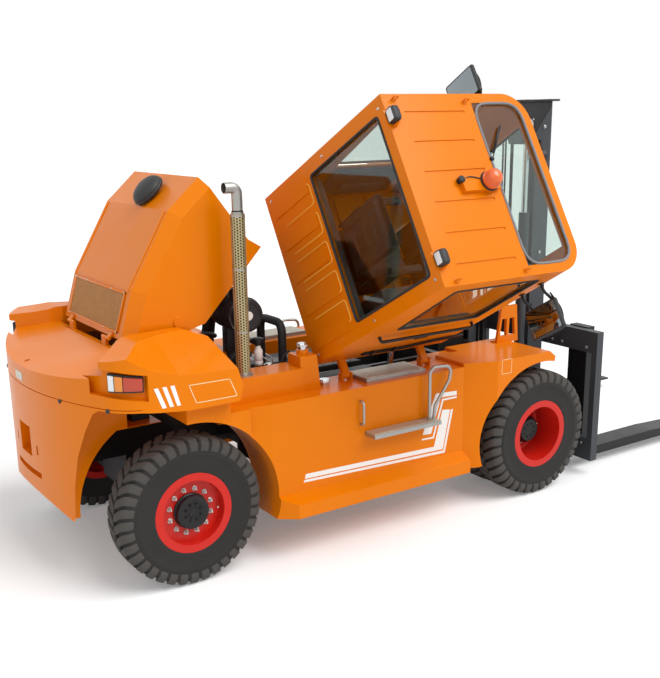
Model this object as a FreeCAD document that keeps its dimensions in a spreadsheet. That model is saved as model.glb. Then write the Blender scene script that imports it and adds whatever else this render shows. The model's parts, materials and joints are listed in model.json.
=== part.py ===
import FreeCAD, Part
import math
import os
import re

import Sketcher

# Heavy diesel forklift with a side-tilting cab and a lifting hood, in millimetres.
# Working frame: X forward to the forks, Y to the left, Z up, origin on the ground under the
# rear (steering) axle. Every finished sub-part is then moved by the same offset, so that the
# stored part has its origin under the middle of its box.
# The cab is drawn upright and the hood closed; their placements tip them open.

DIMENSIONS = (
    # wheels and track
    ("wheel_base", 3300),
    ("rear_wheel_centre", 922),
    ("front_outer_centre", 1092),
    ("dual_spacing", 350),
    ("tyre_diameter", 1125),
    ("tyre_width", 300),
    ("bead_radius", 258),
    ("rim_wall", 14),
    ("flange_radius", 302),
    ("hub_radius", 120),
    ("stud_circle", 335),
    ("seat_gap", 0.3),
    # body
    ("body_half_width", 1225),
    ("tank_half_width", 1110),
    ("sill_half_width", 1220),
    ("bay_half_width", 700),
    ("deck_height", 1270),
    ("sill_height", 370),
    ("sill_step", 110),
    ("tank_rear", 475),
    ("tank_tail", -40),
    ("tank_front_back", 800),
    ("tank_front", "wheel_base - tank_front_back"),
    ("shelf_width", 250),
    ("shelf_height", 185),
    ("riser_rear", 1010),
    ("riser_width", 150),
    ("riser_height", 270),
    ("rear_arch_radius", 685),
    ("front_arch_radius", 655),
    ("fender_inner", 560),
    ("fender_rise", 30),
    ("fender_top", "deck_height + fender_rise"),
    ("fender_reach", 160),
    ("fender_front", "wheel_base + fender_reach"),
    ("fender_flare", 280),
    ("fender_relief", 20),
    ("stand_side", 700),
    ("stand_height", 330),
    ("stand_plate", 30),
    ("step_length", 590),
    ("step_front_back", 1160),
    ("step_front", "wheel_base - step_front_back"),
    ("step_rear", "step_front - step_length"),
    ("step_plate", 32),
    ("lower_step_height", 872),
    ("tube_radius", 14),
    # counterweight
    ("counterweight_rear", 850),
    ("counterweight_base", 545),
    ("counterweight_bow", 2200),
    ("counterweight_corner", 380),
    ("counterweight_ridge", 1850),
    ("deck_rear_height", 1580),
    ("shoulder_height", 1630),
    ("seam_height", 1436),
    ("seam_width", 7),
    ("seam_depth", 9),
    ("ear_front", 355),
    ("ear_rise", 115),
    ("ear_base", "deck_height + ear_rise"),
    ("arch_rear", 745),
    ("steer_bay_half", 240),
    ("steer_bay_rear", 700),
    ("steer_bay_height", 1140),
    ("lamp_depth", 50),
    ("lamp_sunk", 12),
    ("tow_width", 240),
    ("tow_height", 230),
    ("tow_base", 900),
    ("tow_pin_radius", 22),
    # chassis
    ("rail_outer", 440),
    ("rail_plate", 40),
    ("rail_base", 520),
    ("rail_drop", 50),
    ("rail_top", "deck_height - rail_drop"),
    ("rail_rear", 720),
    ("rail_reach", 340),
    ("rail_front", "wheel_base + rail_reach"),
    ("engine_base", 700),
    ("engine_rise", 30),
    ("engine_top", "rail_top + engine_rise"),
    ("cleaner_radius", 150),
    ("cleaner_rise", 530),
    ("kingpin_centre", 780),
    ("kingpin_radius", 32),
    ("axle_drop", 130),
    # hood
    ("hood_hinge_back", 300),
    ("hood_hinge_height", 1775),
    ("hood_half_width", 660),
    ("hood_bevel", 85),
    ("hood_running_gap", 25),
    ("hood_open_angle", 45),
    ("hood_wall", 20),
    ("hood_brow_along", 50),
    ("hood_brow_height", 1935),
    ("hood_crest_along", 650),
    ("hood_crest_height", 2090),
    ("hood_nose_along", 985),
    ("hood_nose_drop", 20),
    ("grille_from", 35),
    ("grille_to", 340),
    ("grille_half_width", 500),
    ("grille_plate", 12),
    ("intake_along", 780),
    ("intake_side", 90),
    ("intake_foot", 62),
    ("exhaust_along", 560),
    ("exhaust_side", 850),
    ("exhaust_radius", 52),
    ("exhaust_top", 2860),
    # cab
    ("cab_length", 1490),
    ("cab_front_back", 560),
    ("cab_front", "wheel_base - cab_front_back"),
    ("cab_rear", "cab_front - cab_length"),
    ("cab_lean", 150),
    ("cab_half_width", 720),
    ("cab_running_gap", 20),
    ("cab_tall", 1570),
    ("cab_floor_height", "deck_height + cab_running_gap"),
    ("cab_roof_height", "cab_floor_height + cab_tall"),
    ("cab_wall", 40),
    ("cab_corner", 220),
    ("cab_window_half", 600),
    ("cab_window_sill", 620),
    ("cab_window_tall", 860),
    ("cab_window_low", "cab_floor_height + cab_window_sill"),
    ("cab_window_high", "cab_window_low + cab_window_tall"),
    ("roof_window_back", 540),
    ("roof_window_rear", "cab_front - roof_window_back"),
    ("roof_window_inset", 75),
    ("pane_corner", 150),
    ("swage_depth", 7),
    ("cab_hinge_side", 850),
    ("cab_hinge_rise", 35),
    ("cab_hinge_height", "deck_height + cab_hinge_rise"),
    ("cab_tilt_angle", 60),
    ("cab_cylinder_back", 640),
    ("cab_cylinder_along", "cab_front - cab_cylinder_back"),
    ("cab_cylinder_side", 545),
    ("cab_cylinder_base_drop", 710),
    ("cab_cylinder_base", "deck_height - cab_cylinder_base_drop"),
    ("cab_cylinder_drop", 40),
    ("cab_cylinder_eye", "cab_floor_height - cab_cylinder_drop"),
    ("cab_cylinder_tube_length", 620),
    ("cab_cylinder_rod_length", 560),
    ("door_width", 900),
    ("door_front_back", 300),
    ("door_front", "cab_front - door_front_back"),
    ("door_rear", "door_front - door_width"),
    ("door_gap", 6),
    ("glass", 8),
    # mast and forks
    ("mast_pivot_ahead", 420),
    ("mast_pivot_height", 500),
    ("mast_ahead", 490),
    ("mast_back", "wheel_base + mast_ahead"),
    ("mast_depth", 190),
    ("mast_half_width", 555),
    ("mast_web", 30),
    ("tower_gap", 60),
    ("tilt_base_back", 380),
    ("tilt_base_ahead", "wheel_base - tilt_base_back"),
    ("tilt_base_rise", 170),
    ("tilt_eye_rise", 320),
    ("tilt_base_height", "deck_height + tilt_base_rise"),
    ("tilt_eye_height", "tilt_base_height + tilt_eye_rise"),
    ("tilt_side", 340),
    ("tilt_tube_length", 500),
    ("tilt_rod_length", 480),
    ("lift_side", 515),
    ("lift_radius", 48),
    ("mast_height", 3370),
    ("running_gap", 6),
    ("carriage_half_width", 1200),
    ("carriage_top", 1370),
    ("carriage_base", 140),
    ("carriage_plate", 80),
    ("fork_thickness", 90),
    ("fork_width", 220),
    ("fork_length", 2400),
    ("fork_centre", 900),
    ("fork_clearance", 95),
)

doc = FreeCAD.newDocument("forklift")
dims = doc.addObject("Spreadsheet::Sheet", "Dims")
for row, (alias, size) in enumerate(DIMENSIONS, start=1):
    dims.set(f"A{row}", alias)
    dims.set(f"B{row}", f"={size}")
    dims.setAlias(f"B{row}", alias)
doc.recompute()

ALIASES = {alias for alias, _ in DIMENSIONS}
NODES = []


def ex(text):
    """An expression on the sheet's aliases, written for an object outside the sheet."""
    return re.sub(r"[a-z_]+", lambda m: "Dims." + m.group(0) if m.group(0) in ALIASES else m.group(0),
                  str(text))


def num(text):
    """The value of an expression on the sheet's aliases."""
    return float(dims.evalExpression(str(text)))


def vec(x, y, z):
    return FreeCAD.Vector(num(x), num(y), num(z))


# ---------------------------------------------------------------- building blocks

def box(name, x, y, z):
    """A box between two expressions on each axis."""
    item = doc.addObject("Part::Box", name)
    for axis, size, (low, high) in zip("xyz", ("Length", "Width", "Height"), (x, y, z)):
        item.setExpression(f"Placement.Base.{axis}", ex(low))
        item.setExpression(size, ex(f"({high}) - ({low})"))
    return item


AXIS_TURN = {
    "x": FreeCAD.Rotation(FreeCAD.Vector(0, 1, 0), 90),
    "y": FreeCAD.Rotation(FreeCAD.Vector(1, 0, 0), -90),
    "z": FreeCAD.Rotation(),
}


def rod(name, axis, start, radius, length):
    """A cylinder from a start point, running along +axis."""
    item = doc.addObject("Part::Cylinder", name)
    item.Placement = FreeCAD.Placement(FreeCAD.Vector(), AXIS_TURN[axis])
    for letter, text in zip("xyz", start):
        item.setExpression(f"Placement.Base.{letter}", ex(text))
    item.setExpression("Radius", ex(radius))
    item.setExpression("Height", ex(length))
    return item


def sketch(body, name, role, points, offset="0"):
    """A closed outline on one of the body's origin planes, each corner bound to the sheet."""
    item = body.newObject("Sketcher::SketchObject", name)
    plane = next(f for f in body.Origin.OriginFeatures if f.Role == role)
    item.AttachmentSupport = [(plane, "")]
    item.MapMode = "FlatFace"
    item.setExpression(".AttachmentOffset.Base.z", ex(offset))
    corners = [FreeCAD.Vector(num(a), num(b), 0) for a, b in points]
    count = len(corners)
    item.addGeometry([Part.LineSegment(corners[i], corners[(i + 1) % count]) for i in range(count)])
    rules = [Sketcher.Constraint("Coincident", i, 2, (i + 1) % count, 1) for i in range(count)]
    for i, corner in enumerate(corners):
        rules.append(Sketcher.Constraint("DistanceX", -1, 1, i, 1, corner.x))
        rules.append(Sketcher.Constraint("DistanceY", -1, 1, i, 1, corner.y))
    item.addConstraint(rules)
    index = count
    for point in points:
        for text in point:
            item.setExpression(f"Constraints[{index}]", ex(text))
            index += 1
    return item


def pad(name, plane, points, low, high):
    """A profile padded between two places along the plane's own axis.

    plane is "XY", "XZ" or "YZ"; low and high are along the third axis.
    """
    body = doc.addObject("PartDesign::Body", name)
    # the XZ plane of a body looks along -Y, so its pad starts from the high side
    start = f"-({high})" if plane == "XZ" else low
    outline = sketch(body, name + "_outline", plane + "_Plane", points, start)
    item = body.newObject("PartDesign::Pad", name + "_pad")
    item.Profile = outline
    item.setExpression("Length", ex(f"({high}) - ({low})"))
    outline.Visibility = False
    return body


def turned(name, points):
    """A ring turned about the Y axis from a profile of (along Y, radius) corners."""
    body = doc.addObject("PartDesign::Body", name)
    outline = sketch(body, name + "_outline", "YZ_Plane", points)
    item = body.newObject("PartDesign::Revolution", name + "_turn")
    item.Profile = outline
    item.ReferenceAxis = (outline, ["H_Axis"])
    item.Angle = 360
    return body


def spun(name, points, x, y):
    """A solid turned about a vertical axis at x, y from (radius, height) corners."""
    body = doc.addObject("PartDesign::Body", name)
    outline = sketch(body, name + "_outline", "XZ_Plane", points)
    item = body.newObject("PartDesign::Revolution", name + "_turn")
    item.Profile = outline
    item.ReferenceAxis = (outline, ["V_Axis"])
    item.Angle = 360
    return place(body, x, y, "0")


def cut(name, base, *tools):
    item = doc.addObject("Part::Cut", name)
    item.Base = base
    item.Tool = tools[0] if len(tools) == 1 else group(name + "_tools", *tools)
    return item


def fuse(name, *parts):
    item = doc.addObject("Part::MultiFuse", name)
    item.Shapes = list(parts)
    item.Refine = True
    return item


def common(name, first, second):
    item = doc.addObject("Part::Common", name)
    item.Base = first
    item.Tool = second
    return item


def group(name, *parts):
    item = doc.addObject("Part::Compound", name)
    item.Links = list(parts)
    return item


def mirrored(name, source):
    """The same piece on the other side of the truck."""
    item = doc.addObject("Part::Mirroring", name)
    item.Source = source
    item.Base = FreeCAD.Vector(0, 0, 0)
    item.Normal = FreeCAD.Vector(0, 1, 0)
    return item


def rounded(name, base, radius, chosen):
    """Rounds the edges of base that chosen(edge) picks, with a radius from the sheet."""
    doc.recompute()
    size = num(radius)
    edges = [(i, size, size) for i, edge in enumerate(base.Shape.Edges, start=1) if chosen(edge)]
    item = doc.addObject("Part::Fillet", name)
    item.Base = base
    item.Edges = edges
    return item


def bevelled(name, base, size, chosen):
    """Chamfers the edges of base that chosen(edge) picks."""
    doc.recompute()
    flat = num(size)
    edges = [(i, flat, flat) for i, edge in enumerate(base.Shape.Edges, start=1) if chosen(edge)]
    item = doc.addObject("Part::Chamfer", name)
    item.Base = base
    item.Edges = edges
    return item


def bent_tube(name, radius, bend, points):
    """A tube along straight runs joined by tangent arcs of one bend radius."""
    corners = [vec(*point) for point in points]
    edges = []
    start = corners[0]
    for before, corner, after in zip(corners, corners[1:], corners[2:]):
        back = (before - corner).normalize()
        ahead = (after - corner).normalize()
        turn = math.pi - back.getAngle(ahead)
        reach = num(bend) * math.tan(turn / 2)
        first = corner + back * reach
        last = corner + ahead * reach
        middle = corner + (back + ahead).normalize() * num(bend) * (1 / math.cos(turn / 2) - 1)
        edges.append(Part.LineSegment(start, first).toShape())
        edges.append(Part.Arc(first, middle, last).toShape())
        start = last
    edges.append(Part.LineSegment(start, corners[-1]).toShape())
    ring = Part.Wire(Part.makeCircle(num(radius), corners[0], corners[1] - corners[0]))
    tube = Part.Wire(edges).makePipeShell([ring], True, False)
    if tube.Volume < 0:
        tube.reverse()
    item = doc.addObject("Part::Feature", name)
    item.Shape = tube
    return item


def slanted(name, run, length, profile, direction):
    """A profile in the XZ plane at y = run, swept length along direction."""
    face = Part.Face(Part.makePolygon([vec(x, run, z) for x, z in profile + profile[:1]]))
    item = doc.addObject("Part::Feature", name)
    item.Shape = face.extrude(FreeCAD.Vector(*direction) * num(length))
    return item


def straight(edge, axis):
    """True when an edge is a straight line along an axis."""
    ends = [v.Point for v in edge.Vertexes]
    if len(ends) != 2:
        return False
    run = ends[1] - ends[0]
    return run.Length > 1 and abs(abs(run.normalize().dot(axis)) - 1) < 1e-6


# ---------------------------------------------------------------- frames

X_AXIS = FreeCAD.Vector(1, 0, 0)
Y_AXIS = FreeCAD.Vector(0, 1, 0)
Z_AXIS = FreeCAD.Vector(0, 0, 1)


def tilt_reach():
    """How far to the right the tilted cab's roof corner comes."""
    angle = math.radians(num("cab_tilt_angle"))
    out = num("cab_hinge_side - cab_half_width")
    up = num("cab_roof_height - cab_hinge_height")
    return num("cab_hinge_side") - out * math.cos(angle) + up * math.sin(angle)


FORK_TIP = "mast_back + mast_depth + 40 + carriage_plate + fork_thickness + fork_length"
OFFSET = FreeCAD.Vector(
    -(num(FORK_TIP) - num("counterweight_rear")) / 2,
    -(num("front_outer_centre + tyre_width / 2") - tilt_reach()) / 2,
    0,
)
TRUCK = FreeCAD.Placement(OFFSET, FreeCAD.Rotation())
CAB = FreeCAD.Placement(
    OFFSET,
    FreeCAD.Rotation(X_AXIS, num("cab_tilt_angle")),
    vec("0", "-cab_hinge_side", "cab_hinge_height"))
HOOD = FreeCAD.Placement(
    OFFSET,
    FreeCAD.Rotation(Y_AXIS, -num("hood_open_angle")),
    vec("-hood_hinge_back", "0", "hood_hinge_height"))


def node(label, frame, *parts):
    """A finished sub-part: its label names its file, and its frame places it."""
    item = group(label + "_set", *parts)
    item.Label = label
    item.Placement = frame
    NODES.append(item)
    return item


# ---------------------------------------------------------------- wheels

def tyre(name):
    half = "tyre_width / 2"
    return turned(name, [
        (f"-{half} + 40", "bead_radius + seat_gap"),
        (f"{half} - 40", "bead_radius + seat_gap"),
        (f"{half} - 22", "flange_radius + 8"),
        (f"{half}", "tyre_diameter / 2 - 150"),
        (f"{half}", "tyre_diameter / 2 - 85"),
        (f"{half} - 12", "tyre_diameter / 2 - 30"),
        (f"{half} - 34", "tyre_diameter / 2 - 6"),
        (f"{half} - 60", "tyre_diameter / 2"),
        (f"-{half} + 60", "tyre_diameter / 2"),
        (f"-{half} + 34", "tyre_diameter / 2 - 6"),
        (f"-{half} + 12", "tyre_diameter / 2 - 30"),
        (f"-{half}", "tyre_diameter / 2 - 85"),
        (f"-{half}", "tyre_diameter / 2 - 150"),
        (f"-{half} + 22", "flange_radius + 8"),
    ])


def place(body, x, y, z):
    for letter, text in zip("xyz", (x, y, z)):
        body.setExpression(f"Placement.Base.{letter}", ex(text))
    return body


def rim(name, disc, bore):
    """A rim: barrel, two flanges and a disc whose middle lies at disc along the axle."""
    half = "tyre_width / 2"
    wall = "rim_wall"
    return turned(name, [
        (f"-{half} + 24", "bead_radius"),
        (f"-{half} + 24", "flange_radius"),
        (f"-{half} + 8", "flange_radius"),
        (f"-{half} + 8", f"bead_radius - {wall}"),
        (f"{disc} - 12", f"bead_radius - {wall}"),
        (f"{disc} - 12", bore),
        (f"{disc} + 12", bore),
        (f"{disc} + 12", f"bead_radius - {wall}"),
        (f"{half} - 8", f"bead_radius - {wall}"),
        (f"{half} - 8", "flange_radius"),
        (f"{half} - 24", "flange_radius"),
        (f"{half} - 24", "bead_radius"),
    ])


def front_wheels(side, sign):
    rows = []
    for place_name, offset in (("outer", "0"), ("inner", "dual_spacing")):
        body = tyre(f"front_{side}_{place_name}_tyre")
        place(body, "wheel_base", f"{sign} * (front_outer_centre - {offset})", "tyre_diameter / 2")
        rows.append(body)
    node(f"front_{side}_tyres", TRUCK, *rows)
    # the two discs bolt back to back on the hub, half way between the rims
    rims = []
    reach = "dual_spacing / 2"
    for place_name, offset, disc in (("outer", "0", f"-{sign} * ({reach} - 12.5)"),
                                     ("inner", "dual_spacing", f"{sign} * ({reach} - 12.5)")):
        half = "tyre_width / 2"
        wall = "rim_wall"
        toward = "-1" if (place_name == "outer") == (sign == "1") else "1"
        inward = f"{toward} * ({half} - 8)"
        outward = f"-({toward}) * ({half} - 8)"
        lip_in = f"{toward} * ({half} - 24)"
        lip_out = f"-({toward}) * ({half} - 24)"
        body = turned(f"front_{side}_{place_name}_rim", [
            (lip_out, "bead_radius"),
            (lip_out, "flange_radius"),
            (outward, "flange_radius"),
            (outward, f"bead_radius - {wall}"),
            (inward, f"bead_radius - {wall}"),
            (f"{disc} - ({toward}) * 12", f"bead_radius - {wall} - 20"),
            (f"{disc} - ({toward}) * 12", "hub_radius - 5"),
            (f"{disc} + ({toward}) * 12", "hub_radius - 5"),
            (f"{disc} + ({toward}) * 12", "bead_radius - 20"),
            (inward, "flange_radius"),
            (lip_in, "flange_radius"),
            (lip_in, "bead_radius"),
        ])
        place(body, "wheel_base", f"{sign} * (front_outer_centre - {offset})", "tyre_diameter / 2")
        rims.append(body)
    hub = turned(f"front_{side}_hub_ring", [
        (f"{sign} * (front_outer_centre - dual_spacing - 60)", "65.05"),
        (f"{sign} * (front_outer_centre - dual_spacing - 60)", "hub_radius"),
        (f"{sign} * (front_outer_centre - 20)", "hub_radius"),
        (f"{sign} * (front_outer_centre + 10)", "hub_radius - 30"),
        (f"{sign} * (front_outer_centre + 10)", "0"),
        (f"{sign} * (front_outer_centre - 30)", "0"),
        (f"{sign} * (front_outer_centre - 30)", "65.05"),
    ])
    place(hub, "wheel_base", "0", "tyre_diameter / 2")
    node(f"front_{side}_rims", TRUCK, fuse(f"front_{side}_rims_whole", *rims, hub))


def rear_wheel(side, sign):
    body = tyre(f"rear_{side}_tyre_ring")
    place(body, "0", f"{sign} * rear_wheel_centre", "tyre_diameter / 2")
    node(f"rear_{side}_tyre", TRUCK, body)
    disc = rim(f"rear_{side}_rim_disc", f"{sign} * 60", "hub_radius - 5")
    place(disc, "0", f"{sign} * rear_wheel_centre", "tyre_diameter / 2")
    hub = turned(f"rear_{side}_hub_ring", [
        (f"{sign} * (-25)", "50.05"),
        (f"{sign} * (-25)", "hub_radius"),
        (f"{sign} * 110", "hub_radius"),
        (f"{sign} * 128", "hub_radius - 28"),
        (f"{sign} * 128", "0"),
        (f"{sign} * 100", "0"),
        (f"{sign} * 100", "50.05"),
    ])
    place(hub, "0", f"{sign} * rear_wheel_centre", "tyre_diameter / 2")
    node(f"rear_{side}_rim", TRUCK, fuse(f"rear_{side}_rim_whole", disc, hub))


for side, sign in (("left", "1"), ("right", "-1")):
    front_wheels(side, sign)
    rear_wheel(side, sign)

# ---------------------------------------------------------------- steering axle

axle_line = "tyre_diameter / 2"

beam = pad("steer_beam", "XY", [
    ("-110", "0"), ("-110", "430"), ("-55", "570"), ("-55", "kingpin_centre + 50"),
    ("55", "kingpin_centre + 50"), ("55", "570"), ("110", "430"), ("110", "0")],
    f"{axle_line} - axle_drop", f"{axle_line} + axle_drop")
yoke_gap = box("yoke_gap", ("-200", "200"), ("600", "kingpin_centre + 60"),
               (f"{axle_line} - axle_drop + 40", f"{axle_line} + axle_drop - 40"))
pin_holes = rod("yoke_pin_hole", "z", ("0", "kingpin_centre", f"{axle_line} - axle_drop - 5"),
                "kingpin_radius + 0.05", "2 * axle_drop + 10")
half_axle = cut("steer_half", beam, yoke_gap, pin_holes)
node("steer_axle", TRUCK, fuse("steer_axle_whole", half_axle, mirrored("steer_half_mirror", half_axle)))


def knuckle(side, sign):
    pin = rod(f"{side}_kingpin", "z", ("0", f"{sign} * kingpin_centre", f"{axle_line} - axle_drop"),
              "kingpin_radius", "2 * axle_drop")
    boss = rod(f"{side}_knuckle_boss", "z",
               ("0", f"{sign} * kingpin_centre", f"{axle_line} - axle_drop + 40 + running_gap"),
               "62", "2 * axle_drop - 80 - 2 * running_gap")
    start = "kingpin_centre" if sign == "1" else "-rear_wheel_centre - 95"
    spindle = rod(f"{side}_spindle", "y", ("0", start, axle_line), "50",
                  "rear_wheel_centre + 95 - kingpin_centre")
    arm = box(f"{side}_steer_arm", ("-190", "0"),
              (f"{sign} * kingpin_centre - 22", f"{sign} * kingpin_centre + 22"),
              (f"{axle_line} - 60", f"{axle_line} - 20"))
    node(f"{side}_knuckle", TRUCK, fuse(f"{side}_knuckle_whole", pin, boss, spindle, arm))


knuckle("left", "1")
knuckle("right", "-1")

# ---------------------------------------------------------------- drive axle

axle_tube = rod("drive_tube", "y", ("wheel_base", "-(front_outer_centre - 60)", axle_line), "65",
                "2 * (front_outer_centre - 60)")
axle_housing = rod("drive_housing", "y",
                   ("wheel_base", "-(front_outer_centre - dual_spacing - 175)", axle_line), "150",
                   "2 * (front_outer_centre - dual_spacing - 175)")
bowl = doc.addObject("Part::Sphere", "differential_bowl")
bowl.Radius = 260
place(bowl, "wheel_base", "0", axle_line)
node("drive_axle", TRUCK, fuse("drive_axle_whole", axle_tube, axle_housing, bowl))

# ---------------------------------------------------------------- chassis frame

rail = pad("chassis_rail", "XZ", [
    ("rail_rear", "rail_base + 160"), ("rail_rear + 240", "rail_base"), ("wheel_base - 240", "rail_base"),
    ("wheel_base - 240", f"{axle_line} + 150 + seat_gap"),
    ("wheel_base + 240", f"{axle_line} + 150 + seat_gap"),
    ("wheel_base + 240", "rail_base - 120"), ("rail_front", "rail_base - 120"),
    ("rail_front", "rail_top - 100"),
    ("rail_front - 200", "rail_top"), ("rail_rear", "rail_top")],
    "rail_outer - rail_plate", "rail_outer")
rails = [rail, mirrored("chassis_rail_mirror", rail)]
cross = [
    box(f"cross_member_{index}", (f"{place_x}", f"{place_x} + 60"),
        ("-rail_outer + rail_plate", "rail_outer - rail_plate"),
        (low, high))
    for index, (place_x, low, high) in enumerate((
        ("rail_rear", "rail_base + 300", "rail_top"),
        ("1300", "rail_base + 100", "engine_base - seat_gap"),
        ("2200", "rail_base", "rail_base + 260"),
        ("cab_front + 20", "rail_base + 60", "rail_top"),
        ("rail_front - 60", f"{axle_line} + 200", "rail_top - 100")))
]
rear_beam = box("rear_beam", ("-steer_bay_rear + seat_gap", "rail_rear + 30"), ("-205", "205"),
                ("790", "steer_bay_height"))
outriggers = [
    box(f"outrigger_{index}", (x, f"{x} + 60"), ("rail_outer - 5", reach), (low, f"{low} + 180"))
    for index, (x, reach, low) in enumerate((
        ("1000", "bay_half_width - seat_gap", "rail_base + 120"),
        ("tank_front - 100", "bay_half_width - seat_gap", "rail_base + 120"),
        ("cab_front - 40", "fender_inner - seat_gap", "rail_top - 200")))
]
cylinder_foot = fuse(
    "cab_cylinder_foot",
    box("cab_cylinder_shelf", ("cab_cylinder_along - 60", "cab_cylinder_along + 110"),
        ("-cab_cylinder_side - 80", "-rail_outer"),
        ("cab_cylinder_base - 62", "cab_cylinder_base - 42")),
    box("cab_cylinder_back", ("cab_cylinder_along - 60", "cab_cylinder_along + 110"),
        ("-rail_outer - 20", "-rail_outer + 5"), ("cab_cylinder_base - 62", "cab_cylinder_base + 60")),
    *[box(f"cab_cylinder_ear_{index}", (f"cab_cylinder_along + {low}", f"cab_cylinder_along + {high}"),
          ("-cab_cylinder_side - 32", "-cab_cylinder_side + 32"),
          ("cab_cylinder_base - 45", "cab_cylinder_base + 32"))
      for index, (low, high) in enumerate((("26", "40"), ("(-40)", "(-26)")))],
    rod("cab_cylinder_pin", "x", ("cab_cylinder_along - 40", "-cab_cylinder_side", "cab_cylinder_base"),
        "18", "80"))
axle_mount = box("steer_axle_mount", ("-130", "130"), ("-150", "150"), (f"{axle_line} + axle_drop", "790"))
pivot_plate = pad("mast_pivot_plate", "XZ", [
    ("rail_front - 20", "mast_pivot_height - 90"),
    ("wheel_base + mast_pivot_ahead - 30", "mast_pivot_height - 70"),
    ("wheel_base + mast_pivot_ahead + 42", "mast_pivot_height - 36"),
    ("wheel_base + mast_pivot_ahead + 42", "mast_pivot_height + 36"),
    ("wheel_base + mast_pivot_ahead - 10", "mast_pivot_height + 80"),
    ("rail_front - 20", "mast_pivot_height + 200")],
    "rail_outer - rail_plate", "rail_outer")
pivot_pin = rod("mast_pivot_pin", "y",
                ("wheel_base + mast_pivot_ahead", "rail_outer - rail_plate - 50", "mast_pivot_height"),
                "30", "rail_plate + 110")
tower_rear = "cab_front + tower_gap"
tower = pad("tilt_tower", "XZ", [
    (tower_rear, "rail_top - 40"), (f"{tower_rear} + 350", "rail_top - 40"),
    ("tilt_base_ahead + 70", "tilt_base_height + 60"), ("tilt_base_ahead - 70", "tilt_base_height + 60")],
    "rail_outer - rail_plate", "rail_outer")
tower_pin = rod("tilt_tower_pin", "y", ("tilt_base_ahead", "tilt_side - 30", "tilt_base_height"), "27",
                "rail_outer - tilt_side + 30")
side_parts = fuse("chassis_front_left", pivot_plate, pivot_pin, tower, tower_pin)
side_parts = fuse("chassis_left_side", side_parts, *outriggers)
node("chassis_frame", TRUCK, fuse("chassis_frame_whole", *rails, *cross, rear_beam, axle_mount,
                                  cylinder_foot, side_parts,
                                  mirrored("chassis_right_side", side_parts)))

# ---------------------------------------------------------------- counterweight

def pair_along_y(name, make, near, far):
    """The same small piece on both sides of the truck; make(name, low, high) builds one."""
    return [make(f"{name}_left", near, far), make(f"{name}_right", f"-({far})", f"-({near})")]


def hinge_barrel(name, low, high):
    return rod(name, "y", ("-hood_hinge_back", low, "hood_hinge_height"), "13", f"({high}) - ({low})")


def casting_plan(name, inset, low, high):
    """The casting seen from above, moved in by inset: bowed rear, round corners."""
    slab = box(name + "_slab", (f"-counterweight_rear + {inset}", "ear_front"),
               (f"-body_half_width + {inset}", f"body_half_width - {inset}"), (low, high))
    bow = rod(name + "_bow", "z", ("counterweight_bow - counterweight_rear", "0", low),
              f"counterweight_bow - {inset}", f"({high}) - ({low})")
    return rounded(name, common(name + "_bowed", slab, bow), f"counterweight_corner - {inset}",
                   lambda edge: straight(edge, Z_AXIS) and edge.Vertexes[0].Point.x < 0)


side_view = pad("counterweight_side", "XZ", [
    ("-counterweight_rear - 5", "counterweight_base + 110"),
    ("-counterweight_rear + 95", "counterweight_base"),
    ("ear_front + 5", "counterweight_base"),
    ("ear_front - 35", "ear_base"),
    ("ear_front", "ear_base + 105"),
    ("ear_front - 95", "counterweight_ridge - 50"),
    ("ear_front - 245", "counterweight_ridge"),
    ("-hood_hinge_back", "counterweight_ridge - 10"),
    ("-hood_hinge_back - 150", "counterweight_ridge - 55"),
    ("-counterweight_rear + 150", "deck_rear_height + 165"),
    ("-counterweight_rear + 35", "deck_rear_height + 50"),
    ("-counterweight_rear - 5", "deck_rear_height")],
    "-body_half_width - 10", "body_half_width + 10")
casting = common("counterweight_form", casting_plan("counterweight_plan", "0", "500", "2000"), side_view)
# the shoulders fall outwards to an edge that is high over the lamps and low beside the tanks
shoulder_top = "counterweight_ridge + 500"
shoulder_cut = slanted("shoulder_slope_left", "body_half_width + 5", "620", [
    ("-counterweight_rear - 20", "deck_rear_height"),
    ("-counterweight_rear + 45", "deck_rear_height + 15"),
    ("-counterweight_rear + 185", "shoulder_height + 140"),
    ("-hood_hinge_back - 190", "shoulder_height + 128"),
    ("-hood_hinge_back - 40", "shoulder_height + 70"),
    ("-130", "shoulder_height + 8"),
    ("30", "shoulder_height - 4"),
    ("ear_front + 20", "shoulder_height - 8"),
    ("ear_front + 20", shoulder_top),
    ("-counterweight_rear - 20", shoulder_top)], (0, -1, 0.52))
# the deck behind the hood lies between the shoulders and rises to the hinges
deck_plan = rounded("deck_plan", pad("deck_outline", "XY", [
    ("-counterweight_rear - 30", "-body_half_width - 60"),
    ("-counterweight_rear + 75", "-body_half_width - 10"),
    ("-counterweight_rear + 190", "-body_half_width + 165"),
    ("-hood_hinge_back - 60", "-hood_half_width - 60"),
    ("-hood_hinge_back + 40", "-hood_half_width - 25"), ("-hood_hinge_back + 40", "hood_half_width + 25"),
    ("-hood_hinge_back - 60", "hood_half_width + 60"),
    ("-counterweight_rear + 190", "body_half_width - 165"),
    ("-counterweight_rear + 75", "body_half_width + 10"),
    ("-counterweight_rear - 30", "body_half_width + 60")],
    "deck_rear_height - 60", "counterweight_ridge + 40"), "90",
    lambda edge: straight(edge, Z_AXIS)
    and abs(edge.Vertexes[0].Point.x + num("counterweight_rear - 190")) < 5)
deck_air = pad("deck_air", "XZ", [
    ("-counterweight_rear - 40", "deck_rear_height - 8"),
    ("-hood_hinge_back - 30", "hood_hinge_height - 55"),
    ("-hood_hinge_back + 50", "hood_hinge_height - 55"),
    ("-hood_hinge_back + 50", "counterweight_ridge + 50"),
    ("-counterweight_rear - 40", "counterweight_ridge + 50")],
    "-body_half_width - 60", "body_half_width + 60")
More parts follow.
